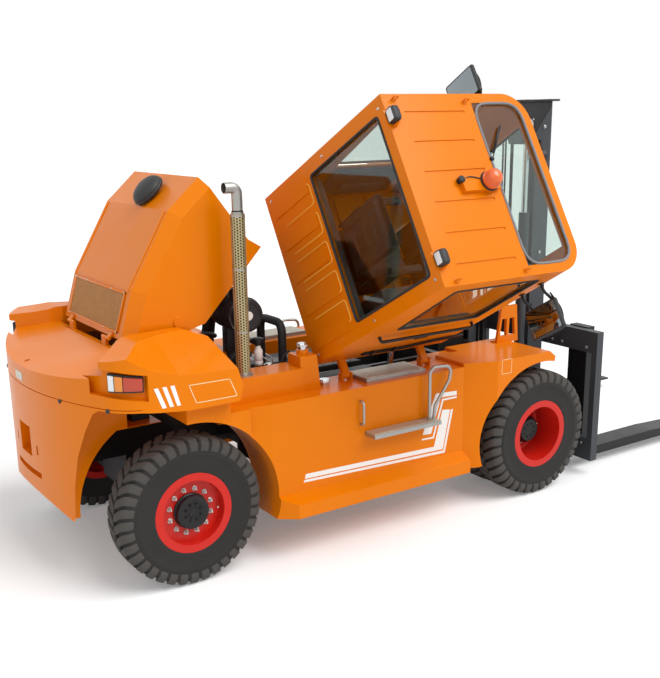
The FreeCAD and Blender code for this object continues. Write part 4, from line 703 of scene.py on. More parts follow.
def outlined(corners: Sequence[Flat], width: float, side: float) -> Piece:
    """A field's outline in film.

    Args:
        corners: its four corners, as x and z.
        width: the line's width.
        side: the face that it is on.
    Returns:
        The four lines.
    """
    lines = []
    for a, b in zip(corners, (*corners[1:], corners[0])):
        run = Vector((b[0] - a[0], b[1] - a[1])).normalized() * width / 2
        over = Vector((-run.y, run.x))
        ends = (Vector(a) - run - over, Vector(b) + run - over, Vector(b) + run + over, Vector(a) - run
            + over)
        lines.append(film(ends, side))
    return joined(lines)


class Assembly:
    """A sub-assembly: its pieces ride on one body and are drawn at one station unless they say otherwise."""

    body: ClassVar[str] = "chassis"
    station: ClassVar[Station] = Station.TRUCK
    made: ClassVar[list[str]] = []

    def add(self, name: str, finish: str, *pieces: Piece, body: str = "", smooth: float = 32.0,
            both: bool = False, replaces: Sequence[str] = ()) -> Piece:
        """Hands pieces over as one, with its place, its finish and its body.

        Args:
            name: its name.
            finish: its finish.
            pieces: the pieces, in drawn truck coordinates.
            body: the body that it rides on, if not the sub-assembly's.
            smooth: the angle in degrees below which its faces blend.
            both: whether its mirror image across the truck is added.
            replaces: the CAD nodes that it stands for.
        Returns:
            The piece.
        """
        piece = joined(pieces)
        if both:
            piece = Bench.copies(piece, [mirrored(side) for side in (1, -1)])
        Bench.settle(piece)
        piece.name = name
        piece.data.name = name
        piece.data.transform(self.station.matrix())
        bpy.ops.object.shade_smooth_by_angle(angle=math.radians(smooth))
        piece.data.materials.clear()
        piece.data.materials.append(material_of(finish))
        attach(piece, body or self.body)
        if replaces:
            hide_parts(*replaces)
        self.made.append(name)
        log.info("%s: %d faces on %s", name, len(piece.data.polygons), body or self.body)
        return piece


# ---------------------------------------------------------------- wheels

@dataclass
class Tyre:
    """A block-tread tyre: a smooth casing and two rows of angled lugs that wrap over the shoulders."""

    radius: float = 0.5615
    half_width: float = 0.149
    groove: float = 0.036
    lugs: int = 36
    lug_share: float = 0.66
    # How much wider a lug is at its root, its width at the middle of the tyre, and its undercut outside.
    root_spread: float = 0.2
    middle_width: float = 0.82
    undercut: float = 0.012
    sides: int = 96
    # The casing from the crown to the bead: depth below the tread, share of the half width.
    profile: tuple[Flat, ...] = ((0.024, 0.0), (0.024, 0.55), (0.03, 0.84), (0.052, 0.955), (0.095, 0.975),
        (0.115, 0.985), (0.12, 1.0), (0.128, 1.0), (0.133, 0.985), (0.18, 0.99), (0.225, 0.965),
        (0.232, 0.975), (0.245, 0.97), (0.2675, 0.93), (0.2875, 0.9), (0.2995, 0.84))
    # A lug's rows from the middle to the shoulder: place across, depth below the tread, lean in radians.
    rows: tuple[Point, ...] = ((0.004, 0.0, 0.0), (0.03, 0.0, 0.0275), (0.062, 0.0, 0.0625),
        (0.096, 0.002, 0.1025), (0.124, 0.008, 0.125), (0.141, 0.03, 0.13125), (0.1488, 0.058, 0.13375),
        (0.1475, 0.088, 0.135))

    def casing(self, middle: Vector) -> Piece:
        """The smooth casing of one tyre, bead to bead.

        Args:
            middle: the tyre's centre.
        Returns:
            The casing.
        """
        half = [(self.radius - depth, share * self.half_width) for depth, share in self.profile]
        rings = [*half, *[(radius, -across) for radius, across in reversed(half[1:])]]
        return lathe(rings, middle, self.sides, LEFT, Ends.RING)

    def lug(self) -> Piece:
        """One lug of the left row, at the top of a tyre centred on the origin.

        Returns:
            The lug.
        """
        wide = 2 * math.pi / self.lugs * self.lug_share
        last = len(self.rows) - 1

        def place(co: Vector) -> Vector:
            """Wraps the grid over the crown and the shoulder; a lug narrows to its tip and at the middle.

            Args:
                co: a point of the flat grid.
            Returns:
                Its place on the tyre.
            """
            row = min(last, max(0, round((co.y + 0.5) * last)))
            across, depth, lean = self.rows[row]
            root = -co.z
            share = (1 + self.root_spread * root) * (1.0 if row else self.middle_width)
            angle = co.x * wide * share + lean
            far = self.radius - depth - root * self.groove
            side = across - (self.undercut if root and row > last // 2 + 1 else 0.0)
            return Vector((far * math.sin(angle), side, far * math.cos(angle)))

        return Bench.bevelled(Bench.warp(Bench.outward(Bench.slab(2, last)), place), 0.003, 1, 40)

    def tread(self, middle: Vector) -> Piece:
        """Both rows of lugs round one tyre, the right row half a step on.

        Args:
            middle: the tyre's centre.
        Returns:
            The lugs as one object.
        """
        return Bench.copies(self.lug(), [Matrix.Translation(middle) @ Matrix.Rotation(
            (i + start) * 2 * math.pi / self.lugs, 4, "Y") @ mirrored(side) for i in range(self.lugs)
            for side, start in ((1, 0.0), (-1, 0.5))])


@dataclass
class Wheels(Assembly):
    """Six tyres with their wheel nuts, hub covers and valves."""

    tyre: Tyre = field(default_factory=Tyre)
    rear_side: float = 0.922
    front_sides: Flat = (1.092, 0.742)
    wheel_base: float = 3.3
    height: float = 0.5625
    nuts: int = 12
    nut_circle: float = 0.1675
    rear_disc: float = 0.072
    front_disc: float = -0.1505
    # Washer, hexagon and stud: sides and (radius, height) of their rings.
    nut_rings: tuple[tuple[int, tuple[Flat, ...]], ...] = ((16, ((0.019, 0), (0.019, 0.003))),
        (6, ((0.0155, 0), (0.0155, 0.016), (0.013, 0.019))), (12, ((0.0085, 0), (0.0085, 0.031),
        (0.006, 0.034))))
    rear_hub: tuple[Flat, ...] = ((0.134, 0.0735), (0.134, 0.085), (0.126, 0.092), (0.1235, 0.131),
        (0.112, 0.1355), (0.085, 0.1365), (0.08, 0.133), (0.04, 0.133), (0.036, 0.1385))
    front_hub: tuple[Flat, ...] = ((0.128, -0.149), (0.1225, -0.145), (0.1225, -0.018), (0.098, 0.014),
        (0.09, 0.0145))

    def nut_ring(self, place: Matrix, disc: float) -> Piece:
        """All of a wheel's nuts.

        Args:
            place: the move to the wheel, from one that faces +Y round the origin.
            disc: the disc's face, out from the centre.
        Returns:
            The ring of nuts.
        """
        nut = joined(lathe(rings, (0, disc, 0), sides, LEFT) for sides, rings in self.nut_rings)
        return Bench.wreath(nut, self.nuts, "Y", place, moved(z=self.nut_circle))

    def valve(self, middle: Vector, side: int, disc: float) -> Piece:
        """A tyre valve with its cap, near the rim's edge.

        Args:
            middle: the wheel's centre.
            side: 1 for the driver's left, -1 for the right.
            disc: how far out the wheel's disc stands.
        Returns:
            The valve.
        """
        x, y, z = middle
        stem = tube([(x + off, y + side * (disc + out), z) for off, out in ((0.212, -0.01), (0.214, 0.03),
            (0.196, 0.062))], 0.004, 0.015, 8)
        cap = lathe(((0.0065, 0), (0.0065, 0.014), (0, 0.016)), (x + 0.196, y + side * (disc + 0.055), z),
            10, (-0.3, side, 0))
        return joined((stem, cap))

    def build(self) -> None:
        """Makes everything on the wheels."""
        rear = ("rear", "", 0.0, (self.rear_side,), self.rear_disc, self.rear_hub)
        front = ("front", "s", self.wheel_base, self.front_sides, self.front_disc, self.front_hub)
        wheels = [(side, f"{end[0]}_{label}", *end[1:], [Vector((end[2], side * off, self.height))
            for off in end[3]]) for label, side in (("left", 1), ("right", -1)) for end in (rear, front)]
        for _, wheel, plural, *_, middles in wheels:
            self.body = f"{wheel}_wheel"
            self.add(f"{wheel}_casing{plural}", "rubber", *[self.tyre.casing(m) for m in middles],
                replaces=(f"{wheel}_tyre{plural}",))
            self.add(f"{wheel}_tread{plural}", "worn_rubber", *[self.tyre.tread(m) for m in middles],
                smooth=25)
        for side, wheel, *_, disc, hub, (middle, *_) in wheels:
            self.body = f"{wheel}_wheel"
            place = Matrix.Translation(middle) @ mirrored(side)
            bolt = lathe(((0.009, 0), (0.009, 0.007), (0.007, 0.009)), sides=6, along=LEFT)
            self.add(f"{wheel}_hub_cover", "black", lathe(hub, middle, 48, (0, side, 0)),
                Bench.wreath(bolt, 8, "Y", place, moved(y=hub[-1][1] - 0.002, z=0.06)), smooth=40)
            self.add(f"{wheel}_wheel_nuts", "bright", self.nut_ring(place, disc), self.valve(middle, side,
                disc))


# ---------------------------------------------------------------- counterweight

@dataclass
class RearLamp(Assembly):
    """A lamp unit that follows the casting's rear corner: reversing, turn and tail lenses in one housing."""

    middle: Flat = (-0.275, 0.845)
    back: float = 0.3315
    face: float = 0.366
    angles: Flat = (105.9, 145.4)
    low: float = 1.5565
    high_front: float = 1.664
    high_rear: float = 1.689
    shares: tuple[tuple[str, float, float], ...] = (("clear_lens", 0.80, 0.97), ("amber_lens", 0.56, 0.78),
        ("red_lens", 0.03, 0.54))

    def arc(self, shares: Flat, near: float, far: float, margin: float, steps: int = 12) -> Piece:
        """A band that follows the corner.

        Args:
            shares: where it starts and ends, as shares of the lamp's length.
            near: its inner radius.
            far: its outer radius.
            margin: how far it stays from the lamp's lower and upper edges.
            steps: how many faces it has along the corner.
        Returns:
            The band.
        """
        def place(co: Vector) -> Vector:
            """Bends the grid round the corner.

            Args:
                co: a point of the flat grid.
            Returns:
                Its place on the lamp.
            """
            along = shares[0] + (co.x + 0.5) * (shares[1] - shares[0])
            angle = math.radians(self.angles[0] + along * (self.angles[1] - self.angles[0]))
            top = self.high_front + along * (self.high_rear - self.high_front) - margin
            low = self.low + margin
            r = far if co.z > -0.5 else near
            return Vector((self.middle[0] + r * math.cos(angle), self.middle[1] + r * math.sin(angle),
                low + (co.y + 0.5) * (top - low)))

        return Bench.outward(Bench.warp(Bench.slab(steps, 4), place))

    def build(self) -> None:
        """Both lamps, mirrored."""
        frames = [Bench.bevelled(self.arc((0, 1), self.back, self.face - 0.012, 0.0), 0.003)]
        for _, first, last in self.shares:
            for rim in ((first - 0.012, first - 0.002), (last + 0.002, last + 0.012)):
                frames.append(self.arc(rim, self.face - 0.014, self.face - 0.003, 0.006, 1))
        self.add("rear_lamp_housings", "plastic", *frames, both=True, replaces=("tail_lights",))
        for name, *lens in self.shares:
            self.add(f"rear_lamp_{name}es", name, Bench.bevelled(self.arc(lens, self.face - 0.0125,
                self.face, 0.012), 0.003), both=True)


@dataclass
class CounterweightTrim(Assembly):
    """Warning stripes, an outlined blank field, seam bolts and a blank plate."""

    side: float = 1.225
    stripes: tuple[tuple[Flat, ...], ...] = (((-0.320, 1.58), (-0.289, 1.58), (-0.234, 1.435),
        (-0.265, 1.435)), ((-0.2585, 1.58), (-0.228, 1.58), (-0.1815, 1.435), (-0.2098, 1.435)),
        ((-0.2007, 1.58), (-0.170, 1.58), (-0.130, 1.435), (-0.158, 1.435)))
    field_corners: tuple[Flat, ...] = ((-0.063, 1.562), (0.247, 1.558), (0.300, 1.429), (-0.014, 1.430))
    seam_height: float = 1.43
    # The seam bolts on the right: place and outward direction along X and Y.
    seam: tuple[tuple[float, ...], ...] = ((-0.761, -0.62, -0.96, -0.29), (-0.582, -1.05, -0.83, -0.56))

    def build(self) -> None:
        """Makes the trim of the counterweight."""
        self.add("warning_stripes", "white", *[film(stripe, self.side) for stripe in self.stripes], both=True)
        self.add("side_field_outlines", "cream", outlined(self.field_corners, 0.005, self.side), both=True)
        rings = ((0.016, -0.01), (0.016, 0.004), (0.011, 0.008))
        self.add("seam_bolts", "iron", *[lathe(rings, (x, y, self.seam_height), 20, (back, out, 0)) for x,
            y, back, out in self.seam], both=True)
        rivets = [lathe(((0.004, 0), (0.003, 0.002), (0, 0.0025)), (-0.8534, y, z), 12, BACK)
            for y in (-0.067, 0.067) for z in (1.476, 1.524)]
        self.add("blank_maker_plate", "aluminium", block((-0.8535, -0.075, 1.468), (-0.845, 0.075, 1.532),
            0.0015), *rivets, smooth=40)


# ---------------------------------------------------------------- tanks and steps

@dataclass
class TankTrim(Assembly):
    """White sweeps on the side tanks, filler caps and step treads."""

    side: float = 1.110
    fender_side: float = 1.225
    sweeps: tuple[tuple[Flat, ...], ...] = (((0.925, 0.671), (2.188, 0.633), (2.274, 0.939),
        (2.356, 0.928), (2.284, 0.593), (0.915, 0.634)), ((0.911, 0.625), (2.291, 0.580), (2.367, 0.926),
        (2.389, 0.927), (2.307, 0.557), (0.904, 0.606)), ((2.425, 1.078), (2.202, 1.090), (2.106, 0.887),
        (2.068, 0.760), (2.155, 0.753), (2.196, 0.871), (2.254, 1.050), (2.426, 1.041)), ((2.426, 1.031),
        (2.269, 1.034), (2.173, 0.722), (2.060, 0.727), (2.056, 0.715), (2.186, 0.707), (2.283, 1.017),
        (2.426, 1.017)))
    plate: tuple[Flat, ...] = ((2.824, 1.302), (2.933, 1.302), (2.933, 1.180), (2.824, 1.180))
    steps: tuple[tuple[Point, Point], ...] = (((1.48, 1.11, 0.872), (2.15, 1.247, 0.904)),
        ((1.55, 0.765, 1.27), (2.14, 1.045, 1.302)))
    tread_margin: float = 0.008
    bar_pitch: float = 0.026
    bead_pitch: float = 0.028
    # The filler caps: place, radius, height.
    caps: tuple[tuple[Point, float, float], ...] = (((1.267, -0.865, 1.27), 0.045, 0.045),
        ((1.085, -0.84, 1.575), 0.04, 0.05))

    def tread(self, low: Point, high: Point) -> Piece:
        """The bars and beads of one step's tread.

        Args:
            low: the step's lowest corner.
            high: its highest corner.
        Returns:
            The tread.
        """
        (x0, y0, _), (x1, y1, top) = low, high
        first, deep = y0 + self.tread_margin, y1 - y0 - 2 * self.tread_margin
        bars = round(deep / self.bar_pitch)
        bar = block((x0 + 0.006, first, top - 0.004), (x1 - 0.006, y0 + 0.024, top + 0.006), 0.0025)
        bead = block((x0 + 0.02, first, top + 0.004), (x0 + 0.026, y1 - 0.01, top + 0.0082), 0.0015, 1)
        return joined((Bench.row(bar, bars, (0, deep / bars, 0)),
            Bench.row(bead, int((x1 - x0 - 0.05) / self.bead_pitch), (self.bead_pitch, 0, 0))))

    def cap(self, place: Point, r: float, h: float) -> Piece:
        """A filler cap with a knurled skirt.

        Args:
            place: the middle of its foot.
            r: its radius.
            h: its height.
        Returns:
            The cap.
        """
        body = lathe(((r * 0.8, 0), (r * 0.8, h * 0.4), (r, h * 0.42), (r, h * 0.85), (r * 0.9, h)), place)
        grip = block((-0.002, r - 0.001, h * 0.45), (0.002, r + 0.0015, h * 0.82), 0.0006, 1)
        return joined((body, Bench.wreath(grip, 28, "Z", moved(*place), start=0)))

    def build(self) -> None:
        """Makes the trim of both tanks."""
        self.add("tank_side_sweeps", "white", *[film(sweep, self.side) for sweep in self.sweeps], both=True)
        self.add("step_treads", "aluminium", *[self.tread(*step) for step in self.steps], both=True)
        self.add("fender_plate_outlines", "cream", outlined(self.plate, 0.004, self.fender_side), both=True)
        self.add("filler_caps", "chrome", *[self.cap(*cap) for cap in self.caps], smooth=40)


# ---------------------------------------------------------------- hood

@dataclass
class HoodTrim(Assembly):
    """The radiator mesh, its frame, the mushroom pre-cleaner, the catch bosses and the panel joint."""

    station = Station.HOOD
    body = "hood"
    low: Point = (-0.274, 0.0, 1.763)
    high: Point = (0.05, 0.0, 1.935)
    half_width: float = 0.5
    run: Flat = (0.035, 0.340)
    frame_width: float = 0.016
    pitch: float = 0.0125
    wire: float = 0.0015
    cleaner: tuple[Flat, ...] = ((0.052, -0.035), (0.055, -0.02), (0.055, 0.006), (0.062, 0.012),
        (0.118, 0.018), (0.132, 0.024), (0.137, 0.034), (0.136, 0.043), (0.131, 0.048), (0.132, 0.052),
        (0.126, 0.068), (0.108, 0.088), (0.08, 0.102), (0.04, 0.109), (0, 0.111))

    def spot(self, along: float, y: float, out: float) -> Vector:
        """A point on the hood's rear face.

        Args:
            along: how far up the face.
            y: how far across.
            out: how far off it.
        Returns:
            The point, hood closed.
        """
        low, high = Vector(self.low), Vector(self.high)
        run = (high - low).normalized()
        off = Vector((-run.z, 0, run.x))
        return low + run * along + off * out + Vector((0, y, 0))

    def strip(self, run: Flat, across: Flat, out: float, thick: float, edge: float = 0.0) -> Piece:
        """A flat strip on the rear face.

        Args:
            run: its two ends up the face.
            across: its two sides.
            out: how far off the face it starts.
            thick: its thickness.
            edge: the rounding of its edges.
        Returns:
            The strip.
        """
        (a, b), (y0, y1) = run, across
        corners = [self.spot(along, y, out) for along, y in ((a, y0), (b, y0), (b, y1), (a, y1))]
        return sheet(corners, self.spot(0, 0, thick) - self.spot(0, 0, 0), edge)

    def mesh(self) -> Piece:
        """The woven wire mesh.

        Returns:
            All the wires as one object.
        """
        first, last = self.run[0] + 0.012, self.run[1] - 0.012
        wide = self.half_width - 0.012
        rows, columns = int((last - first) / self.pitch), int(2 * wide / self.pitch)
        step = self.spot(1, 0, 0) - self.spot(0, 0, 0)
        across = tube([self.spot(first, -wide, 0.0085), self.spot(first, wide, 0.0085)], self.wire, 0, 4)
        across = Bench.copies(across, [Matrix.Translation(step * (last - first) * i / rows)
            for i in range(rows + 1)])
        upright = tube([self.spot(first, -wide, 0.0065), self.spot(last, -wide, 0.0065)], self.wire, 0, 4)
        return joined((across, Bench.row(upright, columns + 1, (0, 2 * wide / columns, 0))))

    @staticmethod
    def roof(x: float) -> float:
        """The roof crest's height at a place along it."""
        return 2.09 + (x - 0.65) / 0.335 * (2.07 - 2.09)

    def build(self) -> None:
        """Makes the hood's trim."""
        (first, last), wide, bar = self.run, self.half_width, self.frame_width
        self.add("grille_wire_mesh", "straw_wire", self.mesh(), replaces=("hood_grille",))
        self.add("grille_frame", "orange", *[self.strip(run, across, 0, 0.0118, 0.002) for run,
            across in (((first, first + bar), (-wide, wide)), ((last - bar, last), (-wide, wide)),
            ((first, last), (-wide, -wide + bar)), ((first, last), (wide - bar, wide)))])
        self.add("grille_backing", "straw", self.strip(self.run, (-wide, wide), 0.0006, 0.003))
        ribs = [tube([self.spot(0.345, y, 0.001), (0.05, y, 1.9355), (0.64, y, self.roof(0.64) - 0.001)],
            0.007, 0.08) for y in (-0.535, 0.535)]
        self.add("hood_panel_ribs", "orange", self.strip((0.354, 0.358), (-0.48, 0.48), 0, 0.0012), *ribs)
        off = self.spot(0, 0, 1) - self.spot(0, 0, 0)
        self.add("grille_screws", "bright", *[lathe(((0.006, 0), (0.006, 0.003), (0.004, 0.005)),
            self.spot(along, y, 0.0115), 10, off) for along in (first + bar / 2, last - bar / 2)
            for y in (-0.49, -0.25, 0.25, 0.49)])
        self.add("intake_mushroom", "plastic", lathe(self.cleaner, (0.78, -0.09, self.roof(0.78) - 0.002),
            64), smooth=40, replaces=("intake_cap",))
        rings = ((0.046, -0.01), (0.046, 0.006), (0.040, 0.011), (0.026, 0.011), (0.024, 0.008))
        self.add("hood_side_bosses", "orange", lathe(rings, (0.092, -0.66, 1.53), 32, (0, -1, 0)), both=True)


# ---------------------------------------------------------------- exhaust

@dataclass
class Exhaust(Assembly):
    """The stack: a perforated heat guard round a dark pipe, clamps and a cut-back bend."""

    x: float = 0.56
    y: float = -0.85
    radius: float = 0.0515
    base: float = 1.456
    guard_top: float = 2.64
    around: int = 16
    rows: int = 58
    # A punched hole's radius, as a share of its cell.
    hole: float = 0.34
    bend_corner: float = 0.085
    wall: float = 0.0016
    bend_radius: float = 0.0395
    bend_height: float = 2.825
    bend_reach: float = 0.103
    bend_wall: float = 0.0035
    bands: tuple[float, ...] = (1.47, 1.78, 2.24, 2.622)

    def guard(self) -> Piece:
        """The perforated sleeve, one punched cell repeated and rolled.

        Returns:
            The sleeve, with its wall.
        """
        wide, tall = 2 * math.pi / self.around, (self.guard_top - self.base) / self.rows
        turns = (math.pi / 4 * (i + 0.5) for i in range(8))
        hole = [(0.5 + self.hole * math.cos(a), 0.5 + self.hole * math.sin(a), 0) for a in turns]
        edge = [(1, 0.5, 0), (1, 1, 0), (0.5, 1, 0), (0, 1, 0), (0, 0.5, 0), (0, 0, 0), (0.5, 0, 0),
            (1, 0, 0)]
        faces = []
        for i in range(8):
            j = (i + 1) % 8
            faces += [(i, j, 8 + i), (8 + i, j, 8 + j)]
        column = Bench.row(Bench.flat(edge + hole, faces), self.rows, (0, 1, 0))
        cells = Bench.copies(column, [moved(i, 0.5 * (i % 2)) for i in range(self.around)])

        def place(co: Vector) -> Vector:
            """Rolls the flat sheet into the sleeve.

            Args:
                co: a point of the flat sheet.
            Returns:
                Its place on the sleeve.
            """
            angle = co.x * wide
            return Vector((self.x + self.radius * math.cos(angle), self.y + self.radius * math.sin(angle),
                min(self.guard_top, self.base + co.y * tall)))

        return Bench.walled(Bench.outward(Bench.warp(cells, place), 2e-5), self.wall)

    def bend(self) -> Piece:
        """The bend: a ring swept along its route, with a wall.

        Returns:
            The bend.
        """
        x, y, top = self.x, self.y, self.bend_height
        route = Bench.bent(((x, y, self.guard_top - 0.05), (x, y, top), (x - self.bend_reach, y, top)),
            self.bend_corner, 10)
        last = len(route) - 1
        Bench.clear()
        bpy.ops.mesh.primitive_circle_add(vertices=36, radius=self.bend_radius)
        rings = Bench.extruded(bpy.context.object, *[UP] * last)

        def place(co: Vector) -> Vector:
            """Puts each ring square on the route.

            Args:
                co: a point of the straight tube, whose height counts the route's points.
            Returns:
                Its place on the bend.
            """
            k = min(last, max(0, round(co.z)))
            ahead = (route[min(k + 1, last)] - route[max(k - 1, 0)]).normalized()
            side = Vector(LEFT)
            return route[k] + side * co.y - ahead.cross(side) * co.x

        return Bench.walled(Bench.outward(Bench.warp(rings, place)), self.bend_wall)

    def build(self) -> None:
        """Makes the stack."""
        x, y, foot, (near, far) = self.x, self.y, 1.4552, (self.radius + 0.0002, self.radius + 0.0018)
        self.add("exhaust_guard", "brass", self.guard(), smooth=50, replaces=("exhaust_stack",))
        self.add("exhaust_pipe", "soot", lathe(((0.043, 0), (0.043, 1.2), (0.04, 1.21)), (x, y, self.base),
            32))
        collar = lathe(((0.0395, 0), (0.0445, 0), (0.0445, 0.02), (0.0395, 0.02)),
            (x, y, self.guard_top - 0.004), 36, ends=Ends.RING)
        self.add("exhaust_bend", "steel", self.bend(), collar, smooth=50)
        bands = [lathe(((near, z), (far, z), (far, z + 0.014), (near, z + 0.014)), (x, y, 0), 36,
            ends=Ends.RING) for z in self.bands]
        flange = lathe(((0.02, 0), (0.072, 0), (0.072, 0.009), (0.053, 0.012), (0.02, 0.012)),
            (x, y, foot), 36, ends=Ends.OPEN)
        self.add("exhaust_bands", "steel", *bands, flange, smooth=40)


# ---------------------------------------------------------------- engine bay

@dataclass
class EngineBay(Assembly):
    """The air cleaner drum, the hoses, bottles, pumps and covers between the hood and the cab."""

    drum: Point = (0.775, -0.575, 1.83)
    drum_radius: float = 0.138
    drum_length: float = 0.4
    ribs: int = 6
    fins: int = 30
    # Hoses: radius, bend, sides and route.
    hoses: tuple[tuple[float, float, int, Route], ...] = ((0.034, 0.09, 20, ((1.11, -0.5, 1.27),
        (1.11, -0.5, 1.72), (1.11, -0.16, 1.72), (1.11, -0.16, 1.27))), (0.022, 0.06, 16,
        ((0.62, -0.42, 1.26), (0.60, -0.46, 1.42), (0.70, -0.50, 1.55), (0.80, -0.55, 1.52))),
        (0.014, 0.06, 12, ((1.0, -0.36, 1.26), (1.0, -0.5, 1.40), (1.17, -0.52, 1.40),
        (1.18, -0.40, 1.26))), (0.03, 0.1, 20, ((0.70, 0.1, 1.27), (0.55, 0.05, 1.50), (0.2, 0.05, 1.58),
        (-0.055, 0.05, 1.58))), (0.03, 0.1, 20, ((0.85, 0.25, 1.27), (0.5, 0.3, 1.33), (0.2, 0.32, 1.25),
        (-0.055, 0.32, 1.22))), (0.011, 0.05, 12, ((1.45, -0.32, 1.20), (1.44, -0.46, 1.25),
        (1.20, -0.58, 1.255), (1.0, -0.62, 1.31), (0.86, -0.61, 1.32), (0.835, -0.595, 1.45))))
    leads: tuple[tuple[float, float, int, Route], ...] = ((0.02, 0.08, 14, ((0.45, -0.38, 1.3),
        (0.44, -0.30, 1.55), (0.56, -0.16, 1.66), (0.72, -0.10, 1.60))), (0.009, 0.05, 10,
        ((1.05, -0.62, 1.26), (1.03, -0.60, 1.45), (1.13, -0.58, 1.52), (1.18, -0.45, 1.26))),
        (0.012, 0.05, 10, ((1.0, -0.64, 1.27), (0.90, -0.63, 1.32), (0.74, -0.62, 1.32),
        (0.66, -0.60, 1.27))))

    def cleaner(self) -> None:
        """The ribbed drum, its end disc, clamps, neck, outlet and foot."""
        r, length, (x, y, z) = self.drum_radius, self.drum_length, self.drum
        body = r - 0.007
        rings = [(0.035, 0.0), (0.036, 0.004), (r - 0.045, 0.004), (r - 0.042, 0.0), (r - 0.022, 0.0),
            (r - 0.012, 0.006), (r - 0.009, 0.016), (r - 0.009, 0.045), (r, 0.048), (r, 0.058),
            (body, 0.061)]
        for at in (0.085 + 0.042 * i for i in range(self.ribs)):
            rings += [(body, at), (r - 0.002, at + 0.004), (r - 0.002, at + 0.012), (body, at + 0.016)]
        rings += [(body, length - 0.05), (r, length - 0.047), (r, length - 0.037),
            (r - 0.01, length - 0.034), (r - 0.02, length)]
        neck = ((0.062, 0), (0.062, 0.06), (0.069, 0.062), (0.069, 0.085), (0.05, 0.09), (0.05, 0.05))
        self.add("air_cleaner_drum", "plastic", lathe(rings, self.drum, 64, LEFT),
            lathe(neck, (x - 0.02, y + 0.16, z + 0.112), 36, (0.05, 0, 1)),
            tube([(x, -0.19, z), (x, -0.05, z), (x - 0.02, 0.06, z - 0.1), (x - 0.06, 0.1, 1.30)], 0.055,
            0.09, 24), block((x - 0.06, y + 0.26, 1.25), (x + 0.06, y + 0.345, z - 0.11), 0.006),
            smooth=38, replaces=("air_cleaner",))
        self.add("air_cleaner_end_disc", "white", lathe(((0.036, 0), (0.034, 0.0022), (0, 0.003)),
            (x, y + 0.0005, z), 36, (0, -1, 0)), smooth=40)
        near, far = r + 0.0002, r + 0.0018
        self.add("air_cleaner_clamps", "bright",
            *[lathe(((near, 0), (far, 0), (far, 0.007), (near, 0.007)), (x, y + at, z), 64, LEFT,
            Ends.RING) for at in (0.0495, length - 0.0455)], smooth=40)

    def plumbing(self) -> None:
        """Hoses and the coolant bottle."""
        self.add("engine_hoses", "seal", *[tube(route, r, bend, sides) for r, bend, sides,
            route in self.hoses], smooth=50)
        bottle = ((0.03, 0), (0.034, 0.005), (0.034, 0.03), (0.031, 0.034), (0.034, 0.038), (0.034, 0.115),
            (0.02, 0.14), (0.018, 0.155))
        self.add("coolant_bottle", "white", lathe(bottle, (0.835, -0.595, 1.44), 32), smooth=40)
        head = ((0.022, 0), (0.022, 0.02), (0.046, 0.025), (0.048, 0.055), (0.04, 0.062), (0, 0.064))
        self.add("bottle_head_and_bracket", "black", lathe(head, (0.835, -0.59, 1.592), 24),
            block((0.81, -0.59, 1.60), (0.86, -0.33, 1.63), 0.005), block((0.82, -0.36, 1.25),
            (0.85, -0.32, 1.62), 0.005), smooth=40)

    def covers(self) -> None:
        """Covers, pumps, filters and pipes on the engine."""
        rockers = [block((1.24 + 0.25 * i, -0.2, 1.245), (1.46 + 0.25 * i, 0.16, 1.270), 0.01, 3)
            for i in range(3)]
        starter = ((0.07, 0), (0.078, 0.01), (0.078, 0.15), (0.06, 0.165))
        self.add("engine_covers", "black", block((0.86, -0.2, 1.245), (1.18, 0.16, 1.335), 0.02, 3),
            *rockers, block((0.9, -0.345, 1.1), (1.9, -0.24, 1.262), 0.012),
            lathe(starter, (1.22, -0.43, 1.08), 32, AHEAD), block((1.21, -0.44, 1.05), (1.37, -0.30, 1.10),
            0.01), smooth=40)
        self.add("engine_orange_housings", "orange", block((0.60, -0.30, 1.30), (0.80, 0.0, 1.50), 0.012,
            3), block((0.62, -0.28, 0.9), (0.78, -0.02, 1.32), 0.01), block((1.30, -0.52, 1.15),
            (1.42, -0.36, 1.262), 0.01))
        bright = []
        for x in (0.985 + 0.055 * i for i in range(4)):
            bright += [tube([(x, -0.30, 1.26), (x, -0.27, 1.38), (x + 0.01, -0.10, 1.40), (x + 0.01, -0.05,
                1.33)], 0.0045, 0.03, 8), lathe(((0.011, 0), (0.011, 0.02), (0.008, 0.024)),
                (x, -0.30, 1.26), 6)]
        bright += [lathe(((0.009, 0), (0.009, 0.006), (0, 0.007)), (1.0 + 0.105 * i, -0.30, 1.2615), 6)
            for i in range(9)]
        self.add("engine_pipes_and_filters", "bright", *bright,
            tube([(0.90, -0.365, 1.20), (1.3, -0.365, 1.205), (1.85, -0.365, 1.20)], 0.014, 0.02, 12),
            tube([(0.66, -0.55, 1.27), (0.74, -0.56, 1.315), (0.98, -0.57, 1.315), (1.05, -0.56, 1.27)],
            0.008, 0.04), lathe(((0.045, 0), (0.045, 0.1), (0.03, 0.115)), (0.78, -0.48, 1.28), 28),
            lathe(((0.038, 0), (0.038, 0.12), (0.028, 0.13)), (1.00, -0.46, 1.27), 28), smooth=40)
        pump = ((0.05, 0), (0.056, 0.01), (0.056, 0.02), (0.045, 0.03), (0.045, 0.12), (0.03, 0.13))
        self.add("battery_and_pumps", "plastic", block((0.34, -0.62, 1.27), (0.52, -0.42, 1.50), 0.012, 3),
            block((0.36, -0.60, 1.495), (0.50, -0.44, 1.52), 0.006), block((1.22, -0.60, 1.19),
            (1.98, -0.42, 1.235), 0.01), *[tube(route, r, bend, sides) for r, bend, sides,
            route in self.leads], *[lathe(pump, (0.40 + 0.19 * i, -0.52 + 0.05 * i, 1.30), 28,
            (0, -1 if i else 0, 1)) for i in range(3)], smooth=40)
        self.add("engine_side_tray", "black", block((0.56, -0.69, 1.255), (1.16, -0.33, 1.275)))

